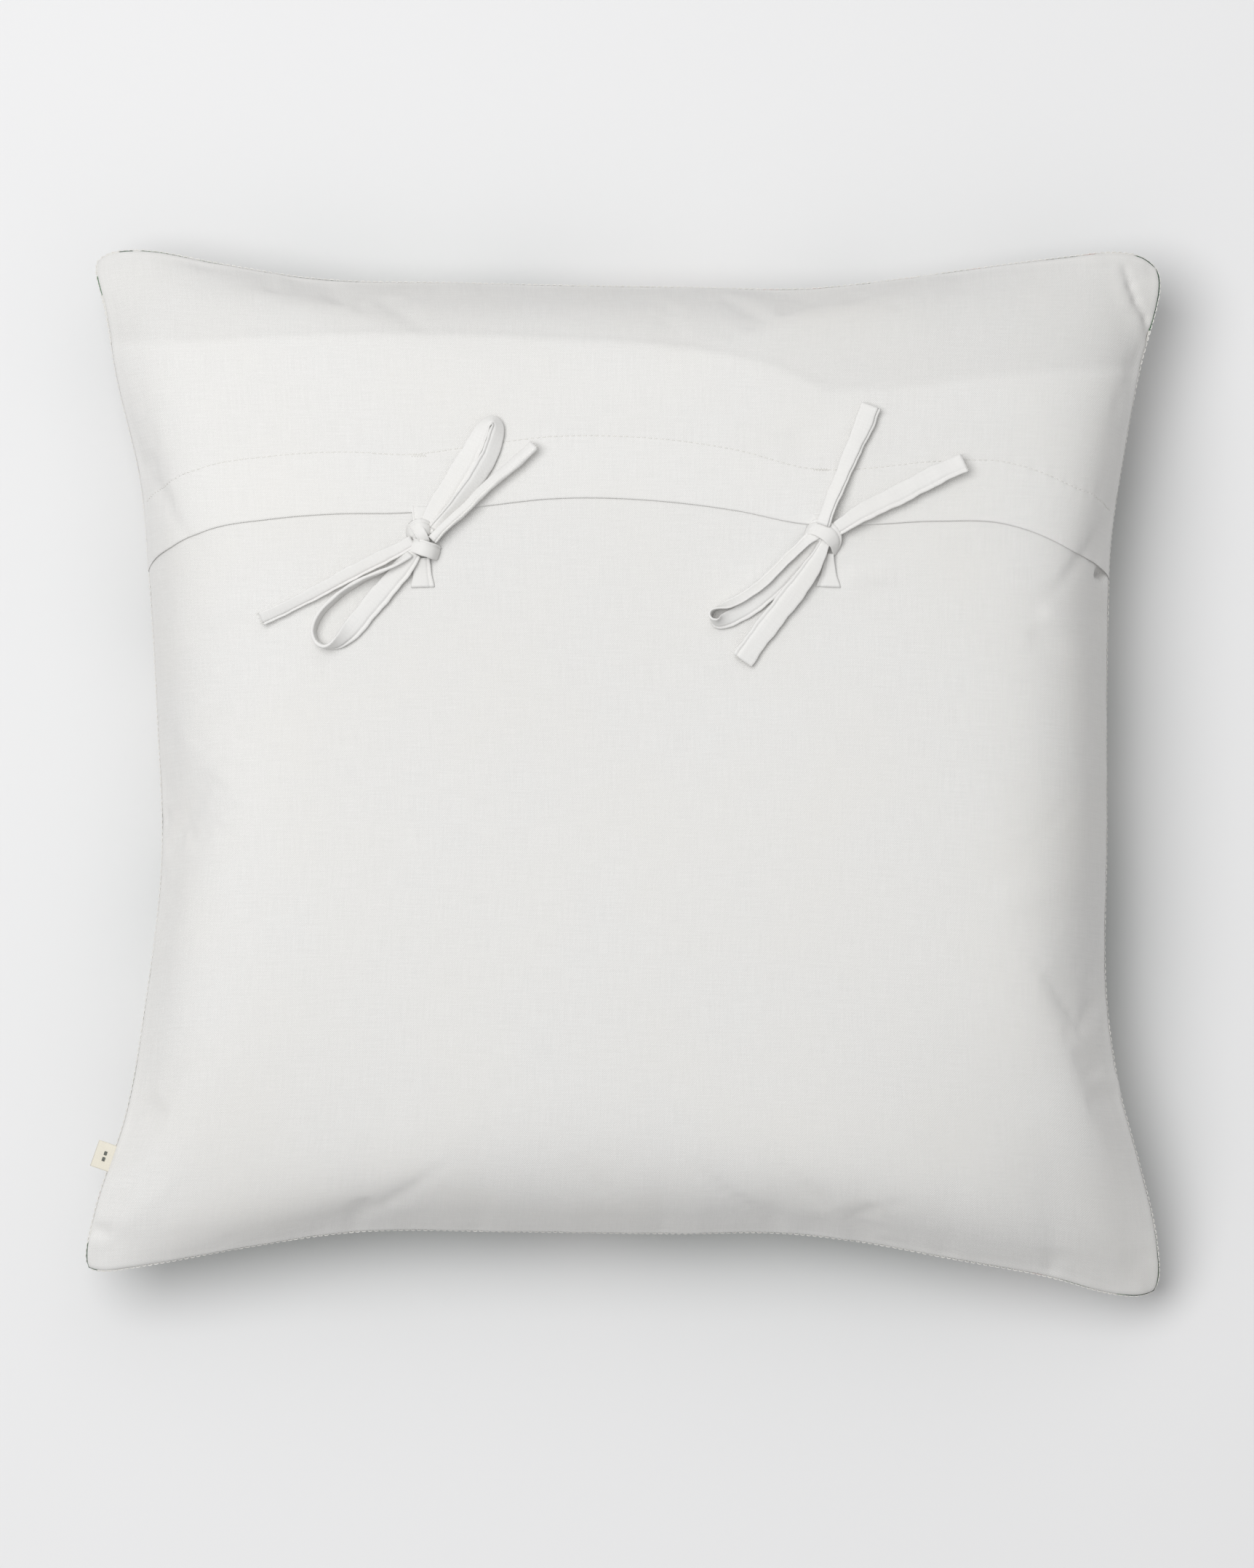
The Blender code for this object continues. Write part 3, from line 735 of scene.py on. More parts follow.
def add_lower_back(canvas):
    """The lower panel of the back, which runs on under the flap to its own hem."""
    end = columns.length_at(under_v)
    count = 200
    t = np.linspace(0, 1, count)
    shares = 0.7 * t + 0.3 * (1 - np.cos(math.pi / 2 * t))
    v = columns.v_at(end[:, None] * shares)
    v[:, 0] = -1.0
    u, x, y, relief = over_columns(v)
    hidden = step(-0.5 * MM, 6 * MM, y - flap_edge_y(x))
    from_gap = np.hypot((x - SIDE_GAP[0]) * SIDE_GAP_STRETCH, y - SIDE_GAP[1])
    lift = -0.5 * MM * hidden - SIDE_GAP_DEPTH * bump(from_gap, SIDE_GAP_REACH)
    panel = grid_mesh("lower_back_cloth", laid(back, u, v, relief, lift), cloth_place(u, v), canvas)
    # Painted light: the whole lower panel is painted a little paler, as if more cloth lay below it.
    paint_layer_light(panel, np.full_like(v, 0.75))
    settle(with_thickness(panel, CLOTH_THICK), "cushion", "off_white_canvas", "lower_back_panel")
    return panel


def add_front(printed):
    """The printed panel that the cushion lies on."""
    u, v = np.meshgrid(columns.us, spread(220), indexing="ij")
    points = laid(face, u, v, face_relief(u, v), 0.0)
    panel = grid_mesh("front_cloth", points[:, ::-1], cloth_place(u, v)[:, ::-1], printed)
    settle(with_thickness(panel, CLOTH_THICK), "cushion", "printed_canvas", "front_panel")


def add_insert(casing, fibre):
    """The pillow in the cover, and the fibre in the pillow: closed forms inside the cover's own shape."""
    for name, inset, lumps, material, slot, nodes in (
        ("insert_pillow", INSERT_INSET, 0.0, casing, "insert_cotton",
         ("insert_back_casing", "insert_face_casing")),
        ("fibre_lump", FILLING_INSET, 1.0 * MM, fibre, "polyester_fibre", ("fibre_filling",)),
    ):
        t = spread(97)
        u, v = np.meshgrid(t, t, indexing="ij")
        shrink = 1 - inset / HALF
        middle = np.array([0, 0, SEAM_Z])
        scale_up = np.array([shrink, shrink, 1 - inset / BACK_RISE])
        scale_down = np.array([shrink, shrink, 1 - inset / SEAM_Z])
        inside = step(0, 0.1, 1 - np.abs(u)) * step(0, 0.1, 1 - np.abs(v))
        uneven = lumps * np.sin(41 * u + 2 * np.sin(17 * v)) * np.sin(37 * v + 1) * inside
        uneven = uneven[..., None] * np.array([0, 0, 1])
        upper = middle + (back.at(u, v) - middle) * scale_up + uneven
        lower = middle + (face.at(u, v) - middle) * scale_down - uneven
        lower[[0, -1]] = upper[[0, -1]]
        lower[:, [0, -1]] = upper[:, [0, -1]]
        faces = []
        for ring in quads(np.arange(u.size).reshape(u.shape)):
            faces += [ring, [k + u.size for k in ring[::-1]]]
        points = np.concatenate([upper.reshape(-1, 3), lower.reshape(-1, 3)])
        flat = np.tile(cloth_place(u, v).reshape(-1, 2), (2, 1))
        piece = mesh_object(name, points, faces, flat, material)
        welded = bmesh.new()
        welded.from_mesh(piece.data)
        bmesh.ops.remove_doubles(welded, verts=welded.verts, dist=1e-6)
        welded.to_mesh(piece.data)
        welded.free()
        settle(piece, "cushion", slot, *nodes)


def outline_line(inset=0.0, count=400):
    """Points round the sewn outline and their outward directions, moved inwards by inset."""
    t = np.linspace(-1, 1, count // 4, endpoint=False)
    points = [back.at(u, v) for u, v in ((t, -1), (1, t), (-t, 1), (-1, -t))]
    points = np.concatenate(points + [points[0][:1]])
    along = np.gradient(points, axis=0)
    out = unit(np.stack([along[:, 1], -along[:, 0], 0 * along[:, 0]], -1))
    return points - out * inset, out


STITCHES = {  # each row: the solid that it stands for, its pitch, the gap and the thread's radius in mm
    "perimeter_stitches": ("perimeter_seam_thread", 3.4, 1.0, 0.34),
    "flap_hem_stitches": ("flap_hem_thread", 3.2, 1.0, 0.24),
    "underlap_hem_stitches": ("underlap_hem_thread", 3.2, 1.0, 0.24),
    "insert_seam_stitches": ("insert_seam_thread", 4.0, 1.2, 0.3),
}


def add_stitches(name, line, normals, cotton):
    node, *sizes = STITCHES[name]
    row = stitched_line(name, line, normals, *(size * MM for size in sizes), cotton)
    settle(row, "cushion", "cotton_thread", node)


def add_seam_threads(cotton, hem_line, hem_normals):
    """Every row of stitching: round the cover, along both hems and round the insert."""
    add_stitches("perimeter_stitches", *outline_line(inset=-0.15 * MM), cotton)
    add_stitches("flap_hem_stitches", hem_line, hem_normals, cotton)
    length = columns.length_at(under_v) - UNDERLAP_HEM
    v = columns.v_at(length[:, None])[:, 0][stitched]
    u = columns.us[stitched]
    relief = back_relief(u, v, *as_seen(back.at(u, v)))
    line = laid(back, u, v, relief, -0.45 * MM)
    add_stitches("underlap_hem_stitches", line, back.normal(u, v), cotton)
    add_stitches("insert_seam_stitches", *outline_line(inset=INSERT_SEAM_INSET), cotton)


# ---- ties ----

STRIP = [  # a folded tie's section: place across from -0.5 to 0.5, and height in thicknesses
    (-0.5, 0.0), (-0.488, 0.3), (-0.455, 0.47), (-0.38, 0.5), (-0.2, 0.53), (0.0, 0.56), (0.16, 0.52),
    (0.25, 0.42), (0.295, 0.12), (0.33, 0.1), (0.365, 0.36), (0.42, 0.42), (0.475, 0.3), (0.5, 0.0),
    (0.475, -0.35), (0.4, -0.5), (0.0, -0.5), (-0.4, -0.5), (-0.475, -0.35),
]
PRESSED_STRIP = [  # a flat loop's section: two such layers, of which the lower shows on the right
    (-0.5, 0.26), (-0.47, 0.44), (-0.38, 0.5), (0.0, 0.52), (0.28, 0.5), (0.355, 0.44), (0.385, 0.28),
    (0.37, 0.1), (0.35, 0.02), (0.42, -0.02), (0.485, -0.1), (0.52, -0.27), (0.49, -0.43), (0.4, -0.5),
    (0.0, -0.5), (-0.4, -0.5), (-0.47, -0.44), (-0.5, -0.26), (-0.47, -0.06), (-0.43, 0.0), (-0.47, 0.06),
]
TIE_THICK = 1.3 * MM
TIE_CUT_WIDTH = 20 * MM  # of the flat cloth that a section goes round
TIE_CUT_SHIFT = 0.37  # moves a tie's weave away from the panels', in metres

# Each free stretch of tie: the side of its open fold (1 is right of its run), its thickness in mm, its
# diameter, and its route from the knot out: x and y in metres, lift over the cloth in mm, roll in degrees
# and width in mm.
FREE_TIES = {
    "left_bow_upper_loop": (
        1, 1.3, 0.0100,
        [(-0.1058, 0.1323, 4.2, 5, 7.4), (-0.1029, 0.1397, 3.6, 5, 9.6), (-0.0990, 0.1462, 2.8, 5, 11.2),
         (-0.0946, 0.1523, 2.2, 5, 12.0), (-0.0893, 0.1612, 1.8, 6, 12.2), (-0.0844, 0.1694, 1.6, 8, 12.0),
         (-0.0799, 0.1777, 1.6, 14, 11.0), (-0.0759, 0.1858, 1.8, 30, 9.8), (-0.0730, 0.1905, 1.6, 46, 9.2),
         (-0.0694, 0.1921, 1.4, 52, 9.0), (-0.0671, 0.1891, 1.2, 46, 9.2), (-0.0679, 0.1838, 1.0, 38, 9.8),
         (-0.0694, 0.1783, 0.8, 34, 10.4), (-0.0718, 0.1724, 0.8, 32, 10.6),
         (-0.0765, 0.1641, 1.0, 32, 10.2), (-0.0820, 0.1563, 1.4, 32, 9.4),
         (-0.0897, 0.1470, 2.2, 32, 8.4), (-0.0962, 0.1397, 3.2, 32, 7.4),
         (-0.1013, 0.1330, 4.0, 22, 6.8)],
    ),
    "left_bow_upper_tail": (
        1, 3.0, 0.0065,
        [(-0.1021, 0.1275, 5.4, 0, 5.4), (-0.0982, 0.1316, 5.8, 8, 5.2), (-0.0939, 0.1360, 5.6, 16, 5.2),
         (-0.0885, 0.1411, 4.8, 24, 5.4), (-0.0833, 0.1460, 4.0, 30, 5.6), (-0.0767, 0.1525, 3.2, 34, 6.0),
         (-0.0696, 0.1588, 2.6, 36, 6.4), (-0.0576, 0.1687, 2.2, 38, 6.8), (-0.0470, 0.1783, 2.6, 38, 7.2)],
    ),
    "left_bow_lower_tail": (
        -1, 2.0, 0.0080,
        [(-0.1127, 0.1267, 4.8, 0, 6.8), (-0.1200, 0.1225, 4.8, 6, 7.4), (-0.1289, 0.1181, 4.4, 10, 8.0),
         (-0.1419, 0.1116, 3.6, 12, 8.2), (-0.1498, 0.1076, 3.0, 12, 8.0), (-0.1576, 0.1033, 2.4, 12, 7.8),
         (-0.1735, 0.0950, 1.8, 18, 7.4), (-0.1850, 0.0893, 1.8, 22, 7.4), (-0.1941, 0.0852, 2.4, 20, 8.0)],
    ),
    "left_bow_lower_loop": (
        1, 1.8, 0.0100,
        [(-0.1146, 0.1205, 3.0, -40, 7.0), (-0.1225, 0.1141, 2.2, -76, 8.0),
         (-0.1317, 0.1096, 1.6, -92, 8.4), (-0.1415, 0.1051, 1.2, -98, 8.4),
         (-0.1513, 0.0988, 0.8, -100, 8.4), (-0.1590, 0.0919, 0.6, -100, 8.4),
         (-0.1643, 0.0850, 0.4, -98, 8.4), (-0.1661, 0.0784, 0.4, -96, 8.4),
         (-0.1641, 0.0726, 0.4, -94, 8.6), (-0.1592, 0.0700, 0.4, -86, 9.0),
         (-0.1537, 0.0718, 0.6, -56, 9.8), (-0.1476, 0.0774, 0.8, -22, 10.8),
         (-0.1413, 0.0848, 1.2, -6, 11.4), (-0.1340, 0.0938, 1.8, -3, 11.6),
         (-0.1256, 0.1035, 2.6, 0, 11.4), (-0.1176, 0.1129, 3.6, 0, 10.4), (-0.1117, 0.1206, 4.6, 0, 8.4)],
    ),
    "right_bow_upper_loop": (
        1, 2.4, 0.0085,
        [(0.1091, 0.1362, 4.6, 20, 7.0), (0.1112, 0.1430, 3.8, 28, 7.4), (0.1144, 0.1512, 2.4, 26, 7.8),
         (0.1189, 0.1613, 1.4, 20, 8.2), (0.1229, 0.1714, 0.9, 15, 8.8), (0.1265, 0.1797, 0.7, 12, 9.4),
         (0.1310, 0.1898, 0.7, 10, 10.4), (0.1332, 0.1958, 0.9, 10, 10.9), (0.1350, 0.2004, 1.1, 10, 11.2)],
    ),
    "right_bow_upper_tail": (
        1, 1.7, 0.0110,
        [(0.1162, 0.1340, 4.4, 0, 7.4), (0.1217, 0.1375, 4.2, 8, 9.0), (0.1282, 0.1417, 3.6, 12, 10.2),
         (0.1404, 0.1475, 2.6, 12, 11.2), (0.1487, 0.1515, 2.4, 11, 11.4), (0.1564, 0.1555, 2.4, 11, 11.4),
         (0.1642, 0.1596, 2.6, 11, 11.4), (0.1721, 0.1636, 2.8, 12, 11.2), (0.1851, 0.1691, 3.4, 14, 10.8)],
    ),
    "right_bow_lower_loop": (
        1, 1.3, 0.0100,
        [(0.1060, 0.1324, 4.2, -20, 7.0), (0.1005, 0.1281, 3.4, -38, 7.6), (0.0959, 0.1235, 2.6, -50, 8.0),
         (0.0892, 0.1173, 1.6, -54, 8.4), (0.0823, 0.1102, 1.0, -54, 8.6), (0.0751, 0.1035, 0.6, -54, 8.6),
         (0.0652, 0.0967, 0.4, -54, 8.6), (0.0571, 0.0928, 0.4, -62, 8.8), (0.0522, 0.0911, 0.4, -84, 9.0),
         (0.0491, 0.0891, 0.4, -104, 9.0), (0.0481, 0.0866, 0.6, -100, 9.0), (0.0495, 0.0840, 0.8, -80, 9.0),
         (0.0526, 0.0831, 0.8, -48, 9.2), (0.0582, 0.0850, 1.0, -20, 9.4), (0.0650, 0.0887, 1.2, -8, 9.6),
         (0.0745, 0.0950, 1.4, -5, 9.6), (0.0819, 0.1013, 1.8, -4, 9.4), (0.0882, 0.1075, 2.2, -2, 9.2),
         (0.0943, 0.1141, 2.6, 0, 8.8), (0.1001, 0.1208, 3.2, 0, 8.2), (0.1042, 0.1269, 3.8, 0, 7.0),
         (0.1071, 0.1305, 4.0, 0, 6.0)],
    ),
    "right_bow_lower_tail": (
        1, 1.5, 0.0110,
        [(0.1121, 0.1311, 5.0, 0, 5.4), (0.1099, 0.1265, 6.0, 0, 6.0), (0.1069, 0.1199, 6.4, 4, 7.8),
         (0.1017, 0.1112, 5.8, 6, 10.4), (0.0970, 0.1045, 4.8, 6, 11.8), (0.0925, 0.0987, 3.8, 6, 12.2),
         (0.0832, 0.0868, 2.6, 5, 12.2), (0.0732, 0.0739, 2.0, 5, 12.2), (0.0653, 0.0626, 2.0, 7, 12.2)],
    ),
}
PRESSED = ("right_bow_upper_loop",)  # pressed flat, so that its two layers lie on one another
SEWN_TIES = {  # the stretches between the cloth and the knots, in the same way
    "left_flap_tie": [(-0.1094, 0.1464, -0.9, 0, 8.4), (-0.1094, 0.1432, -0.4, 0, 8.2),
                      (-0.1092, 0.1397, 1.0, 0, 8.0), (-0.1090, 0.1358, 2.6, 0, 7.0)],
    "right_flap_tie": [(0.1083, 0.1419, -1.0, 0, 8.6), (0.1083, 0.1382, -0.7, 0, 8.6),
                       (0.1085, 0.1348, 0.6, 0, 8.4), (0.1089, 0.1313, 1.6, 0, 8.0)],
    "left_panel_tie": [(-0.1076, 0.1023, 0.0, 0, 12.4), (-0.1077, 0.1067, 0.3, 0, 11.2),
                       (-0.1078, 0.1122, 1.0, 0, 9.8), (-0.1078, 0.1181, 2.4, 0, 8.2)],
    "right_panel_tie": [(0.1119, 0.1025, 0.0, 0, 13.0), (0.1121, 0.1077, 0.3, 0, 9.8),
                        (0.1123, 0.1141, 1.0, 0, 6.8), (0.1127, 0.1205, 2.4, 0, 4.2)],
}
KNOT_WRAPS = {  # bands that wrap each knot's core: x, y in metres, height and width in mm
    "left_bow_knot": [
        [(-0.1153, 0.1297, 0.6, 6.0), (-0.1139, 0.1330, 4.6, 7.6), (-0.1094, 0.1354, 8.2, 8.0),
         (-0.1049, 0.1344, 6.6, 7.4), (-0.1023, 0.1318, 2.0, 6.0)],
        [(-0.1132, 0.1379, 1.0, 5.0), (-0.1116, 0.1356, 5.8, 6.2), (-0.1088, 0.1316, 9.4, 6.4),
         (-0.1069, 0.1279, 8.4, 6.0), (-0.1061, 0.1249, 5.0, 5.0)],
        [(-0.1143, 0.1261, 1.6, 7.0), (-0.1122, 0.1249, 6.4, 8.2), (-0.1072, 0.1234, 9.2, 8.6),
         (-0.1023, 0.1218, 7.2, 8.4), (-0.0990, 0.1206, 1.4, 7.6)],
    ],
    "right_bow_knot": [
        [(0.1005, 0.1340, 0.8, 8.0), (0.1040, 0.1350, 4.6, 10.4), (0.1087, 0.1340, 7.2, 11.4),
         (0.1131, 0.1309, 7.8, 11.0), (0.1158, 0.1267, 6.0, 8.8), (0.1159, 0.1230, 3.4, 5.6),
         (0.1152, 0.1202, 1.2, 2.0)],
    ],
}
KNOT_CORES = {  # middle in metres and half sizes in mm, before the core is flattened
    "left_bow_knot": [((-0.1088, 0.1322), (5.2, 5.4, 5.8)), ((-0.1072, 0.1236), (5.2, 4.6, 5.8))],
    "right_bow_knot": [((0.1083, 0.1318), (6.8, 6.2, 6.2))],
}
KNOT_ROUNDNESS = 0.9  # 1 is an ellipsoid, and less is blockier
KNOT_FLATNESS = 0.62  # a core's real height, as a share of its half size
KNOT_STAND = 0.55  # its middle's height over the cloth, as a share of its half size
WRAP_THICK = 1.5 * MM


class Ground:
    """The cloth that the ties lie on, as a height and a slope at each place."""

    def __init__(self, *pieces):
        points, faces = [], []
        for piece in pieces:
            start = len(points)
            points += [tuple(v.co) for v in piece.data.vertices]
            faces += [[k + start for k in f.vertices] for f in piece.data.polygons]
        self.tree = BVHTree.FromPolygons(points, faces)

    def height(self, x, y):
        hit = self.tree.ray_cast(Vector((x, y, 0.4)), Vector((0, 0, -1)))[0]
        return hit.z if hit is not None else SEAM_Z

    def up(self, x, y, reach=7 * MM):
        east, west = self.height(x + reach, y), self.height(x - reach, y)
        north, south = self.height(x, y + reach), self.height(x, y - reach)
        return np.array(Vector((west - east, south - north, 2 * reach)).normalized())


def fine_route(points, spacing=1.4 * MM):
    """A smooth curve through a route's points, read off at even steps."""
    points = np.asarray(points, float)
    path = np.concatenate([[2 * points[0] - points[1]], points, [2 * points[-1] - points[-2]]])
    fine = []
    for k in range(1, len(path) - 2):
        count = max(3, round(np.linalg.norm(path[k + 1, :2] - path[k, :2]) / spacing))
        t = np.arange(count)[:, None] / count
        weights = cubic_weights(t)
        fine.append(sum(w * path[k - 1 + m] for m, w in enumerate(weights)))
    return np.concatenate(fine + [points[-1:]])


def smoothed(values, reach=4):
    """A running mean that keeps both ends."""
    padded = np.concatenate([np.repeat(values[:1], reach, 0), values, np.repeat(values[-1:], reach, 0)])
    return np.mean([padded[k:k + len(values)] for k in range(2 * reach + 1)], axis=0)


def frames_along(middles, ups):
    """Unit vectors at each station: along the run, to its right, and up from the cloth."""
    along = unit(np.gradient(middles, axis=0))
    right = unit(np.cross(along, ups))
    return along, right, np.cross(right, along)


def rolled(right, up, turn):
    """The same two vectors after a roll about the run."""
    return right * np.cos(turn) + up * np.sin(turn), up * np.cos(turn) - right * np.sin(turn)


def strip(name, middles, ups, rolls, widths, thickness, open_side, material, section=STRIP):
    """A folded cloth strip along its middle line, with the fold's open edge on one side."""
    _, right, up = frames_along(middles, ups)
    side, top = rolled(right, up, np.radians(rolls)[:, None])
    reach = run_length(middles)
    uneven = 1 + 0.035 * np.sin(reach * 310 + 1.7) + 0.02 * np.sin(reach * 730)
    section = np.array(section)
    across = section[:, 0] * open_side
    if open_side < 0:
        across, section = across[::-1], section[::-1]
    offsets = across[None, :, None] * (widths * uneven)[:, None, None] * side[:, None]
    crown = 1 + 0.12 * np.sin(reach * 420)[:, None, None]
    lift = section[None, :, 1, None] * thickness * crown * top[:, None]
    points = middles[:, None] + offsets + lift
    cloth = paired(across * TIE_CUT_WIDTH, reach[:, None] + TIE_CUT_SHIFT)
    return grid_mesh(name, points[::-1], cloth[::-1], material, around=True, caps=True)


def tie_stations(route, ground, thickness):
    """Where a tie's middle line runs over the cloth, with the up direction at each station."""
    fine = fine_route(route)
    x, y = fine[:, 0], fine[:, 1]
    half = fine[:, 4] * MM / 2
    heights = []
    for a, b, h in zip(x, y, half):
        beside = ((0, 0), (1, 0), (-1, 0), (0, 1), (0, -1))
        near = [ground.height(a + da * h, b + db * h) for da, db in beside]
        heights.append(0.5 * near[0] + 0.5 * max(near))
    ups = unit(smoothed(np.array([ground.up(a, b) for a, b in zip(x, y)])))
    turn = np.radians(fine[:, 3])
    stand = half * np.abs(np.sin(turn)) + thickness / 2 * np.abs(np.cos(turn))
    base = np.stack([x, y, smoothed(np.array(heights))], -1)
    return base + ups * (fine[:, 2] * MM + stand)[:, None], ups, fine


def frayed_end(name, middle, along, right, up, width, material):
    """Short loose threads at a tie's cut end."""
    parts = []
    for _ in range(15):
        across = random.uniform(-0.5, 0.5) * width
        reach = random.uniform(0.5, 1.9) * MM
        bend = random.uniform(-0.5, 0.5) * reach
        rise = random.uniform(-0.25, 0.5) * reach
        start = middle + right * across + up * random.uniform(-0.4, 0.4) * TIE_THICK - along * 0.6 * MM
        points = [start, start + along * reach * 0.6 + right * bend * 0.3 + up * rise * 0.4,
                  start + along * (reach + 0.6 * MM) + right * bend + up * rise]
        parts.append(strand(points, [0.17 * MM, 0.14 * MM, 0.07 * MM], 4))
    return merged(name, parts, material)


def add_free_tie(name, ground, canvas, cotton):
    """One loop or tail, as a folded strip, with loose threads at a tail's cut end."""
    open_side, thick, diameter, route = FREE_TIES[name]
    bow = name.rsplit("_", 1)[0]
    middles, ups, fine = tie_stations(route, ground, thick * MM)
    section = PRESSED_STRIP if name in PRESSED else STRIP
    widths = fine[:, 4] * MM
    piece = strip(name + "_strip", middles, ups, fine[:, 3], widths, thick * MM, open_side, canvas, section)
    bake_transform(piece)
    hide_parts(name)
    if name.endswith("tail"):
        along, right, up = (vectors[-1] for vectors in frames_along(middles, ups))
        side, top = rolled(right, up, math.radians(fine[-1, 3]))
        fray = frayed_end(name + "_fray", middles[-1], along, side, top, widths[-1], cotton)
        settle(fray, bow + "_ties", "cotton_thread")


def add_sewn_tie(name, ground, canvas):
    middles, ups, fine = tie_stations(SEWN_TIES[name], ground, TIE_THICK)
    open_side = -1 if name.startswith("right") else 1
    piece = strip(name + "_strip", middles, ups, fine[:, 3], fine[:, 4] * MM, TIE_THICK, open_side, canvas)
    settle(piece, "cushion", "off_white_canvas", name)


FLAP_TACKS = {"left_flap_tie_tack": (-0.1101, 0.1738), "right_flap_tie_tack": (0.1077, 0.1661)}
TACK_WIDTH = 7.6 * MM


def add_tack(name, ground, cotton):
    """A bar tack: close stitches side by side over a tie's sewn end, on the hem where it is the flap's."""
    low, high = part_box(name)
    x, y = (low.x + high.x) / 2, (low.y + high.y) / 2
    if name in FLAP_TACKS:
        x, y = FLAP_TACKS[name]
    parts = []
    for k in range(11):
        place = x + (k / 10 - 0.5) * TACK_WIDTH
        lean = 0.35 * MM if k % 2 else -0.35 * MM
        ends = []
        for dx, dy in ((-lean, -0.7 * MM), (lean, 0.7 * MM)):
            ends.append((place + dx, y + dy, ground.height(place + dx, y + dy) - 0.02 * MM))
        parts.append(stitch(*ends, ground.up(place, y), 0.2 * MM))
    settle(merged(name + "_stitches", parts, cotton), "cushion", "cotton_thread", name)


def add_knot(name, ground, canvas):
    """A knot: a soft core, and the bands of tie that wrap it."""
    for number, (middle, sizes) in enumerate(KNOT_CORES[name]):
        x, y = middle
        low = ground.height(x, y) + 0.4 * MM
        up = ground.up(x, y, 12 * MM)
        theta = np.linspace(0.02, math.pi - 0.02, 25)[:, None]
        phi = np.linspace(0, 2 * math.pi, 36, endpoint=False)[None]
        creases = 1 + 0.06 * np.sin(3 * phi + 4 * theta + number) + 0.035 * np.sin(7 * phi - 5 * theta)
        level = paired(np.cos(phi), np.sin(phi)) * np.sin(theta)[..., None]
        shape = np.concatenate([level, (np.cos(theta) + 0 * phi)[..., None]], -1)
        shape = np.sign(shape) * np.abs(shape) ** KNOT_ROUNDNESS * creases[..., None]
        middle = np.array([x, y, low]) + up * sizes[2] * MM * KNOT_STAND
        points = middle + shape * np.array(sizes) * MM * np.array([1, 1, KNOT_FLATNESS])
        cloth = paired(theta * 0.006, phi * 0.006)
        core = grid_mesh(f"{name}_core_{number}", points, cloth, canvas, around=True, caps=True)
        settle(core, "cushion", "off_white_canvas", name)
    for number, points in enumerate(KNOT_WRAPS[name]):
        fine = fine_route(points, spacing=0.7 * MM)
        x, y = fine[:, :2].mean(axis=0)
        floor = ground.height(x, y)
        line = np.concatenate([fine[:, :2], floor + fine[:, 2:3] * MM], axis=1)
        ups = unit(smoothed(line - np.array([x, y, floor + 1.0 * MM]), 3))
        side = 1 if number % 2 else -1
        flat = np.zeros(len(line))
        widths = fine[:, 3] * MM
        band = strip(f"{name}_wrap_{number}", line, ups, flat, widths, WRAP_THICK, side, canvas)
        settle(band, "cushion", "off_white_canvas")


# ---- the label ----

LABEL_WIDTH = 15.0 * MM
LABEL_REACH = 12.0 * MM
LABEL_TUCK = 2.5 * MM  # how much of its reach lies inside the seam
LABEL_THICK = 0.45 * MM


def add_label(tape, mark):
    """A woven tape folded double, caught in the left seam, with two plain woven bars on it."""
    low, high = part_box("side_label")
    t = np.linspace(-1, 1, 801)
    rim = back.at(-1.0, t)
    near = int(np.argmin(np.abs(rim[:, 1] - (low.y + high.y) / 2)))
    root = rim[near]
    along = unit(rim[near + 3] - rim[near - 3])
    out = np.array([-along[1], along[0], 0.0])
    up = np.array([0.0, 0.0, 1.0])
    s = np.linspace(0, 1, 23)
    places = np.linspace(-1, 1, 27)  # round the fold, from the tape's lower end to its upper end
    rows = []
    for a in places:
        fold = 0.62 * MM * math.sin(math.pi * abs(a)) ** 0.7
        bow_out = LABEL_REACH * (1 - abs(a) ** 1.15)
        height = np.sign(a) * (fold + 0.12 * MM) + 1.2 * MM * (bow_out / LABEL_REACH) ** 2
        edge = 0.35 * MM * np.sin(9 * s + 2)
        line = root + out * (bow_out - LABEL_TUCK) + along * ((s - 0.5) * LABEL_WIDTH)[:, None]
        rows.append(line + up * (height + 0.25 * edge * (1 - abs(a)))[:, None])
    points = np.array(rows)
    cloth = paired(places[:, None] * LABEL_REACH, (s[None] - 0.5) * LABEL_WIDTH)
    label = grid_mesh("label_tape_fold", points[:, ::-1], cloth[:, ::-1], tape)
    settle(with_thickness(label, LABEL_THICK), "label", "label_tape", "side_label")
    parts = []
    for place in (-1.7 * MM, 1.7 * MM):
        middle = root + out * (LABEL_REACH * 0.30) + along * place + up * 1.55 * MM
        for k in range(3):
            start, end = (middle + out * (0.55 * MM * k) + along * half for half in (-1.1 * MM, 1.1 * MM))
            parts.append(stitch(start, end, up, 0.3 * MM))
    settle(merged("label_marks", parts, mark), "label", "label_tape")


# ---- materials ----

FLOOR_COLOUR = (0.80, 0.80, 0.805)
CANVAS_COLOUR = (0.781, 0.776, 0.764)
CANVAS_PITCH = 0.62  # of the weave's yarns, in mm
WEAVE_RELIEF = 0.3 * MM


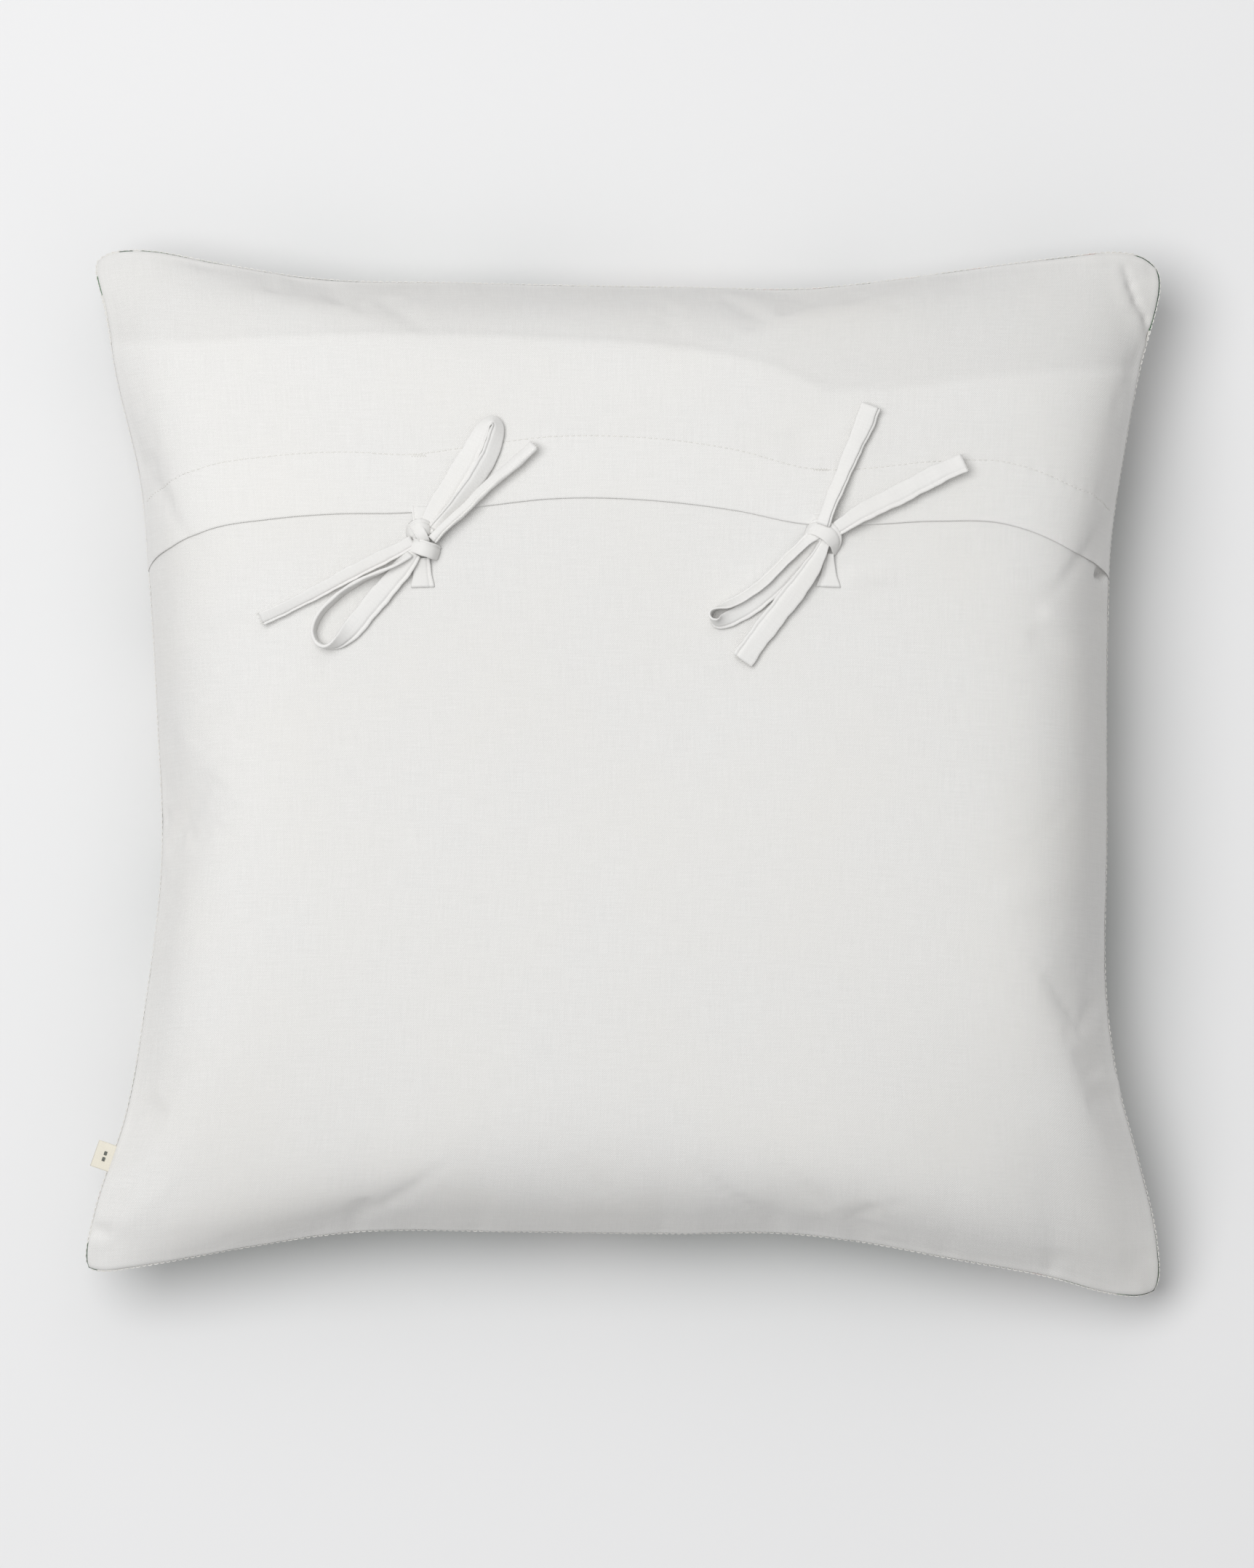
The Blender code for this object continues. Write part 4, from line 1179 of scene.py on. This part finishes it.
class Nodes:
    """Short calls for building a material's node tree."""

    def __init__(self, name):
        self.material = bpy.data.materials.new(name)
        self.material.use_nodes = True
        self.tree = self.material.node_tree
        self.shader = self.tree.nodes["Principled BSDF"]

    def plug(self, inputs, node=None):
        """Sets or links inputs of a node, or of the shader."""
        for key, value in inputs.items():
            socket = (node or self.shader).inputs[key]
            if isinstance(value, bpy.types.NodeSocket):
                self.tree.links.new(value, socket)
            else:
                socket.default_value = value

    def add(self, kind, inputs=None, **settings):
        """Adds a node and returns its outputs."""
        made = self.tree.nodes.new(kind)
        for key, value in settings.items():
            setattr(made, key, value)
        self.plug(inputs or {}, made)
        return made.outputs

    def math(self, operation, a, b=0.0, c=0.0):
        return self.add("ShaderNodeMath", {0: a, 1: b, 2: c}, operation=operation)[0]

    def scaled(self, vector, scale, shift=(0, 0, 0)):
        return self.add("ShaderNodeMapping", {"Vector": vector, "Scale": scale, "Location": shift})[0]

    def mix(self, share, a, b, blend="MIX"):
        inputs = {0: share, 6: a, 7: b}
        return self.add("ShaderNodeMix", inputs, data_type="RGBA", blend_type=blend)[2]

    def shaded(self, colour, value):
        """A colour times a grey."""
        grey = self.add("ShaderNodeCombineColor", {0: value, 1: value, 2: value})[0]
        return self.mix(1.0, colour, grey, "MULTIPLY")

    def noise(self, vector, scale, detail=2.0, rough=0.5):
        inputs = {"Vector": vector, "Scale": scale, "Detail": detail, "Roughness": rough}
        return self.add("ShaderNodeTexNoise", inputs)[0]

    def between(self, value, low, high, to_low, to_high):
        inputs = {"Value": value, "From Min": low, "From Max": high, "To Min": to_low, "To Max": to_high}
        return self.add("ShaderNodeMapRange", inputs)[0]

    def raised(self, height, strength, distance):
        """A bumped normal."""
        inputs = {"Strength": strength, "Distance": distance, "Height": height}
        return self.add("ShaderNodeBump", inputs)[0]

    def cloth_mm(self):
        """The point's place on the flat cloth, in millimetres."""
        place = self.add("ShaderNodeAttribute", attribute_name="cloth")["Vector"]
        return self.add("ShaderNodeVectorMath", {0: place, 3: 1 / MM}, operation="SCALE")[0]

    def object_place(self):
        return self.add("ShaderNodeTexCoord")["Object"]


def weave(nodes, pitch, slub=1.0):
    """A plain weave. Returns its height, how thick its yarns are, and the place on the cloth in mm."""
    place = nodes.cloth_mm()
    wobble = nodes.math("MULTIPLY", nodes.math("SUBTRACT", nodes.noise(place, 0.9), 0.5), 0.55)
    split = nodes.add("ShaderNodeSeparateXYZ", {0: place})
    waves = []
    for k, operation in enumerate(("ADD", "SUBTRACT")):
        across = nodes.math(operation, split[k], wobble)
        waves.append(nodes.math("SINE", nodes.math("MULTIPLY", across, math.pi / pitch)))
    cells = nodes.math("MULTIPLY_ADD", nodes.math("MULTIPLY", *waves), 0.5, 0.5)
    along_x = nodes.noise(nodes.scaled(place, (0.05, 1.25, 1)), 1.0, 3.0, 0.6)
    along_y = nodes.noise(nodes.scaled(place, (1.25, 0.05, 1), (31, 7, 0)), 1.0, 3.0, 0.6)
    yarns = nodes.math("MULTIPLY", nodes.math("ADD", along_x, along_y), 0.5)
    height = nodes.math("MULTIPLY_ADD", yarns, 0.9 * slub, cells)
    return height, yarns, place


def as_cloth(nodes, colour, height, yarns, bump):
    """Plugs in a cloth's colour, its weave's relief, its roughness and its faint sheen."""
    nodes.plug({
        "Base Color": colour,
        "Normal": nodes.raised(height, bump, WEAVE_RELIEF),
        "Roughness": nodes.between(yarns, 0.35, 0.65, 0.95, 0.86),
        "Sheen Weight": 0.08,
        "Sheen Roughness": 0.5,
        "Specular IOR Level": 0.25,
    })
    return nodes.material


def cloth_material(name, colour, pitch=CANVAS_PITCH, bump=0.46, shade=0.042, layer_lit=False):
    """Off-white cotton cloth: plain weave, slubs, mottling, painted shade in the weave's hollows, faint
    sheen.

    A layer-lit cloth is painted paler where it lies on more of itself, as light from the cloth below.
    """
    nodes = Nodes(name)
    height, yarns, place = weave(nodes, pitch, slub=0.7)
    dark = tuple(c * (1 - shade) for c in colour)
    light = tuple(min(1.0, c * (1 + 0.5 * shade)) for c in colour)
    cream = tuple(c * f for c, f in zip(colour, (1.0, 0.99, 0.97)))
    base = nodes.mix(nodes.between(yarns, 0.36, 0.64, 0.0, 1.0), (*dark, 1), (*light, 1))
    mottle = nodes.between(nodes.noise(place, 0.012, 3.0), 0.3, 0.7, 0.0, 0.5)
    base = nodes.mix(mottle, base, (*cream, 1))
    # Painted shade and highlight: the colour is darker in the weave's hollows and lighter on its raised
    # yarns.
    base = nodes.shaded(base, nodes.between(height, 0.2, 1.3, 0.945, 1.015))
    # Painted light: paler where more cloth lies below, standing in for light that it reflects back.
    if layer_lit:
        layer_light = nodes.add("ShaderNodeAttribute", attribute_name="layer_light")["Fac"]
        base = nodes.shaded(base, nodes.between(layer_light, 0.0, 1.0, 0.945, 1.01))
    return as_cloth(nodes, base, height, yarns, bump)


def leaf_layer(nodes, place, cell, shift, length, width):
    """One layer of printed leaves. Returns their mask, the mask of their veins and a shade for each."""
    moved = nodes.scaled(place, (1 / cell, 1 / cell, 1), shift)
    cells = nodes.add(
        "ShaderNodeTexVoronoi", {"Vector": moved, "Scale": 1.0, "Randomness": 0.72}, voronoi_dimensions="2D"
    )
    local = nodes.add("ShaderNodeVectorMath", {0: moved, 1: cells["Position"]}, operation="SUBTRACT")[0]
    chance = nodes.add("ShaderNodeSeparateColor", {0: cells["Color"]})
    angle = nodes.math("MULTIPLY", chance[0], 2 * math.pi)
    turned = nodes.add("ShaderNodeVectorRotate", {"Vector": local, "Angle": angle}, rotation_type="Z_AXIS")
    x, y, _ = nodes.add("ShaderNodeSeparateXYZ", {0: turned[0]})
    y = nodes.math("ADD", y, nodes.math("MULTIPLY", nodes.math("MULTIPLY", x, x), 0.5))
    along = nodes.math("DIVIDE", x, length)
    edge = nodes.math("MULTIPLY", nodes.math("SUBTRACT", 1.0, nodes.math("MULTIPLY", along, along)), width)
    across = nodes.math("ABSOLUTE", y)
    inside = nodes.between(nodes.math("SUBTRACT", edge, across), 0.0, 0.012, 0.0, 1.0)
    rib = nodes.between(across, 0.006, 0.016, 1.0, 0.0)
    slant = nodes.math("ADD", nodes.math("MULTIPLY", x, 46.0), nodes.math("MULTIPLY", across, -60.0))
    veins = nodes.between(nodes.math("SINE", slant), 0.86, 0.98, 0.0, 0.7)
    return inside, nodes.math("MAXIMUM", rib, veins), chance[1]


LEAF_LAYERS = (  # cell in mm, shift, a leaf's half length and half width in cells, dark and light green
    (64.0, (0.23, 0.61, 0), 0.50, 0.17, (0.022, 0.075, 0.040), (0.060, 0.150, 0.075)),
    (52.0, (0.71, 0.17, 0), 0.46, 0.13, (0.045, 0.125, 0.060), (0.11, 0.22, 0.12)),
    (96.0, (0.12, 0.40, 0), 0.48, 0.20, (0.014, 0.050, 0.030), (0.050, 0.115, 0.065)),
)


def printed_material():
    """The front's cloth: off-white canvas with a generic print of dark green leaves and pink buds."""
    nodes = Nodes("printed_leaf_canvas")
    height, yarns, place = weave(nodes, CANVAS_PITCH)
    share = nodes.between(yarns, 0.36, 0.64, 0.0, 1.0)
    colour = nodes.mix(share, (0.74, 0.725, 0.69, 1), (0.80, 0.79, 0.76, 1))
    worn = nodes.between(nodes.noise(place, 1.4), 0.25, 0.6, 0.8, 1.0)
    spots = {"Vector": nodes.scaled(place, (0.030, 0.030, 1)), "Scale": 1.0}
    buds = nodes.add("ShaderNodeTexVoronoi", spots, voronoi_dimensions="2D")
    bud = nodes.between(buds["Distance"], 0.13, 0.16, 0.85, 0.0)
    colour = nodes.mix(bud, colour, (0.55, 0.20, 0.19, 1))
    for cell, shift, length, width, green, pale in LEAF_LAYERS:
        inside, lines, chance = leaf_layer(nodes, place, cell, shift, length, width)
        tone = nodes.mix(nodes.math("MULTIPLY", chance, 0.5), (*green, 1), (*pale, 1))
        tone = nodes.mix(lines, tone, (*pale, 1))
        colour = nodes.mix(nodes.math("MULTIPLY", inside, worn), colour, tone)
    return as_cloth(nodes, colour, height, yarns, bump=0.3)


def thread_material(name, colour):
    """Spun cotton thread, with a fine twist."""
    nodes = Nodes(name)
    twist = nodes.noise(nodes.scaled(nodes.object_place(), (1500, 1500, 1500)), 1.0)
    # Painted shade: the colour is darker where the twist's bump is lowest.
    nodes.plug({
        "Base Color": nodes.mix(twist, (*(0.93 * c for c in colour), 1), (*colour, 1)),
        "Normal": nodes.raised(twist, 0.3, 0.1 * MM),
        "Roughness": 0.7,
        "Specular IOR Level": 0.35,
        "Sheen Weight": 0.05,
    })
    return nodes.material


def fibre_material():
    """White polyester wadding."""
    nodes = Nodes("polyester_wadding")
    tufts = nodes.noise(nodes.object_place(), 160.0, 5.0, 0.7)
    # Painted shade: the colour is darker where the tufts' bump is lowest.
    nodes.plug({
        "Base Color": nodes.mix(tufts, (0.80, 0.80, 0.80, 1), (0.90, 0.90, 0.90, 1)),
        "Normal": nodes.raised(tufts, 0.8, 3 * MM),
        "Roughness": 1.0,
        "Specular IOR Level": 0.1,
        "Sheen Weight": 0.2,
    })
    return nodes.material


def floor_material():
    """A plain pale matt floor."""
    nodes = Nodes("pale_floor")
    tone = nodes.noise(nodes.object_place(), 3.0)
    darker = (*(0.995 * c for c in FLOOR_COLOUR), 1)
    nodes.plug({
        "Base Color": nodes.mix(tone, (*FLOOR_COLOUR, 1), darker),
        "Roughness": 0.95,
        "Specular IOR Level": 0.1,
    })
    return nodes.material


# ---- floor, lights and camera ----

FILL_LIGHT = 0.442
WINDOWS = {  # each soft light's place, its diameter and its power
    "key_window": ((-1.2, 0.66, 3.6), 2.8, 98.0),
    "far_window": ((0.2, 2.8, 3.2), 3.0, 13.5),
}
LIGHT_AIM = (0, 0, 0.05)
SENSOR = 36.0  # its width, in mm


def add_floor():
    lines = (-6, -1, 0, 1, 6)
    points = np.array([[(x, y, 0) for y in lines] for x in lines], float)
    grid_mesh("floor", points, np.zeros((5, 5, 2)), floor_material())


def add_lights():
    world = bpy.data.worlds.new("soft_room")
    bpy.context.scene.world = world
    world.use_nodes = True
    ambient = world.node_tree.nodes["Background"]
    ambient.inputs["Color"].default_value = (1.0, 1.0, 1.0, 1)
    ambient.inputs["Strength"].default_value = FILL_LIGHT
    for name, (place, size, energy) in WINDOWS.items():
        lamp = bpy.data.lights.new(name, "AREA")
        lamp.shape = "DISK"
        lamp.size = size
        lamp.energy = energy
        holder = new_object(name, lamp)
        holder.location = place
        holder.rotation_euler = (Vector(LIGHT_AIM) - Vector(place)).to_track_quat("-Z", "Y").to_euler()
    bpy.context.scene.view_settings.view_transform = "Standard"


def add_camera():
    """Looks straight down. Its view's width is set on the plane of the seam."""
    camera = bpy.data.cameras.new("camera")
    camera.sensor_fit = "AUTO"
    camera.sensor_width = SENSOR
    camera.lens = SENSOR * CAMERA_HEIGHT / (VIEW_WIDTH * IMAGE_HEIGHT / IMAGE_WIDTH)
    camera.clip_end = 50.0
    holder = new_object("camera", camera)
    holder.location = (*VIEW_CENTRE, SEAM_Z + CAMERA_HEIGHT)
    bpy.context.scene.camera = holder


def main():
    canvas = cloth_material("off_white_cotton_canvas", CANVAS_COLOUR, layer_lit=True)
    tie_canvas = cloth_material("tie_cotton_canvas", tuple(1.015 * c for c in CANVAS_COLOUR), bump=0.26)
    cotton = thread_material("sewing_thread", (0.78, 0.77, 0.74))
    casing = cloth_material("insert_casing_cotton", (0.80, 0.80, 0.785), pitch=0.4, bump=0.15)
    tape = cloth_material("label_tape_weave", (0.76, 0.725, 0.63), pitch=0.5, bump=0.2)
    mark = thread_material("label_mark_thread", (0.16, 0.17, 0.15))
    add_camera()
    flap, hem_line, hem_normals = add_flap(canvas)
    lower = add_lower_back(canvas)
    add_front(printed_material())
    add_insert(casing, fibre_material())
    add_seam_threads(cotton, hem_line, hem_normals)
    ground = Ground(flap, lower)
    for name in FREE_TIES:
        add_free_tie(name, ground, tie_canvas, cotton)
    for name in SEWN_TIES:
        add_sewn_tie(name, ground, tie_canvas)
        add_tack(name + "_tack", ground, cotton)
    for name in KNOT_CORES:
        add_knot(name, ground, tie_canvas)
    add_label(tape, mark)
    add_floor()
    add_lights()


main()
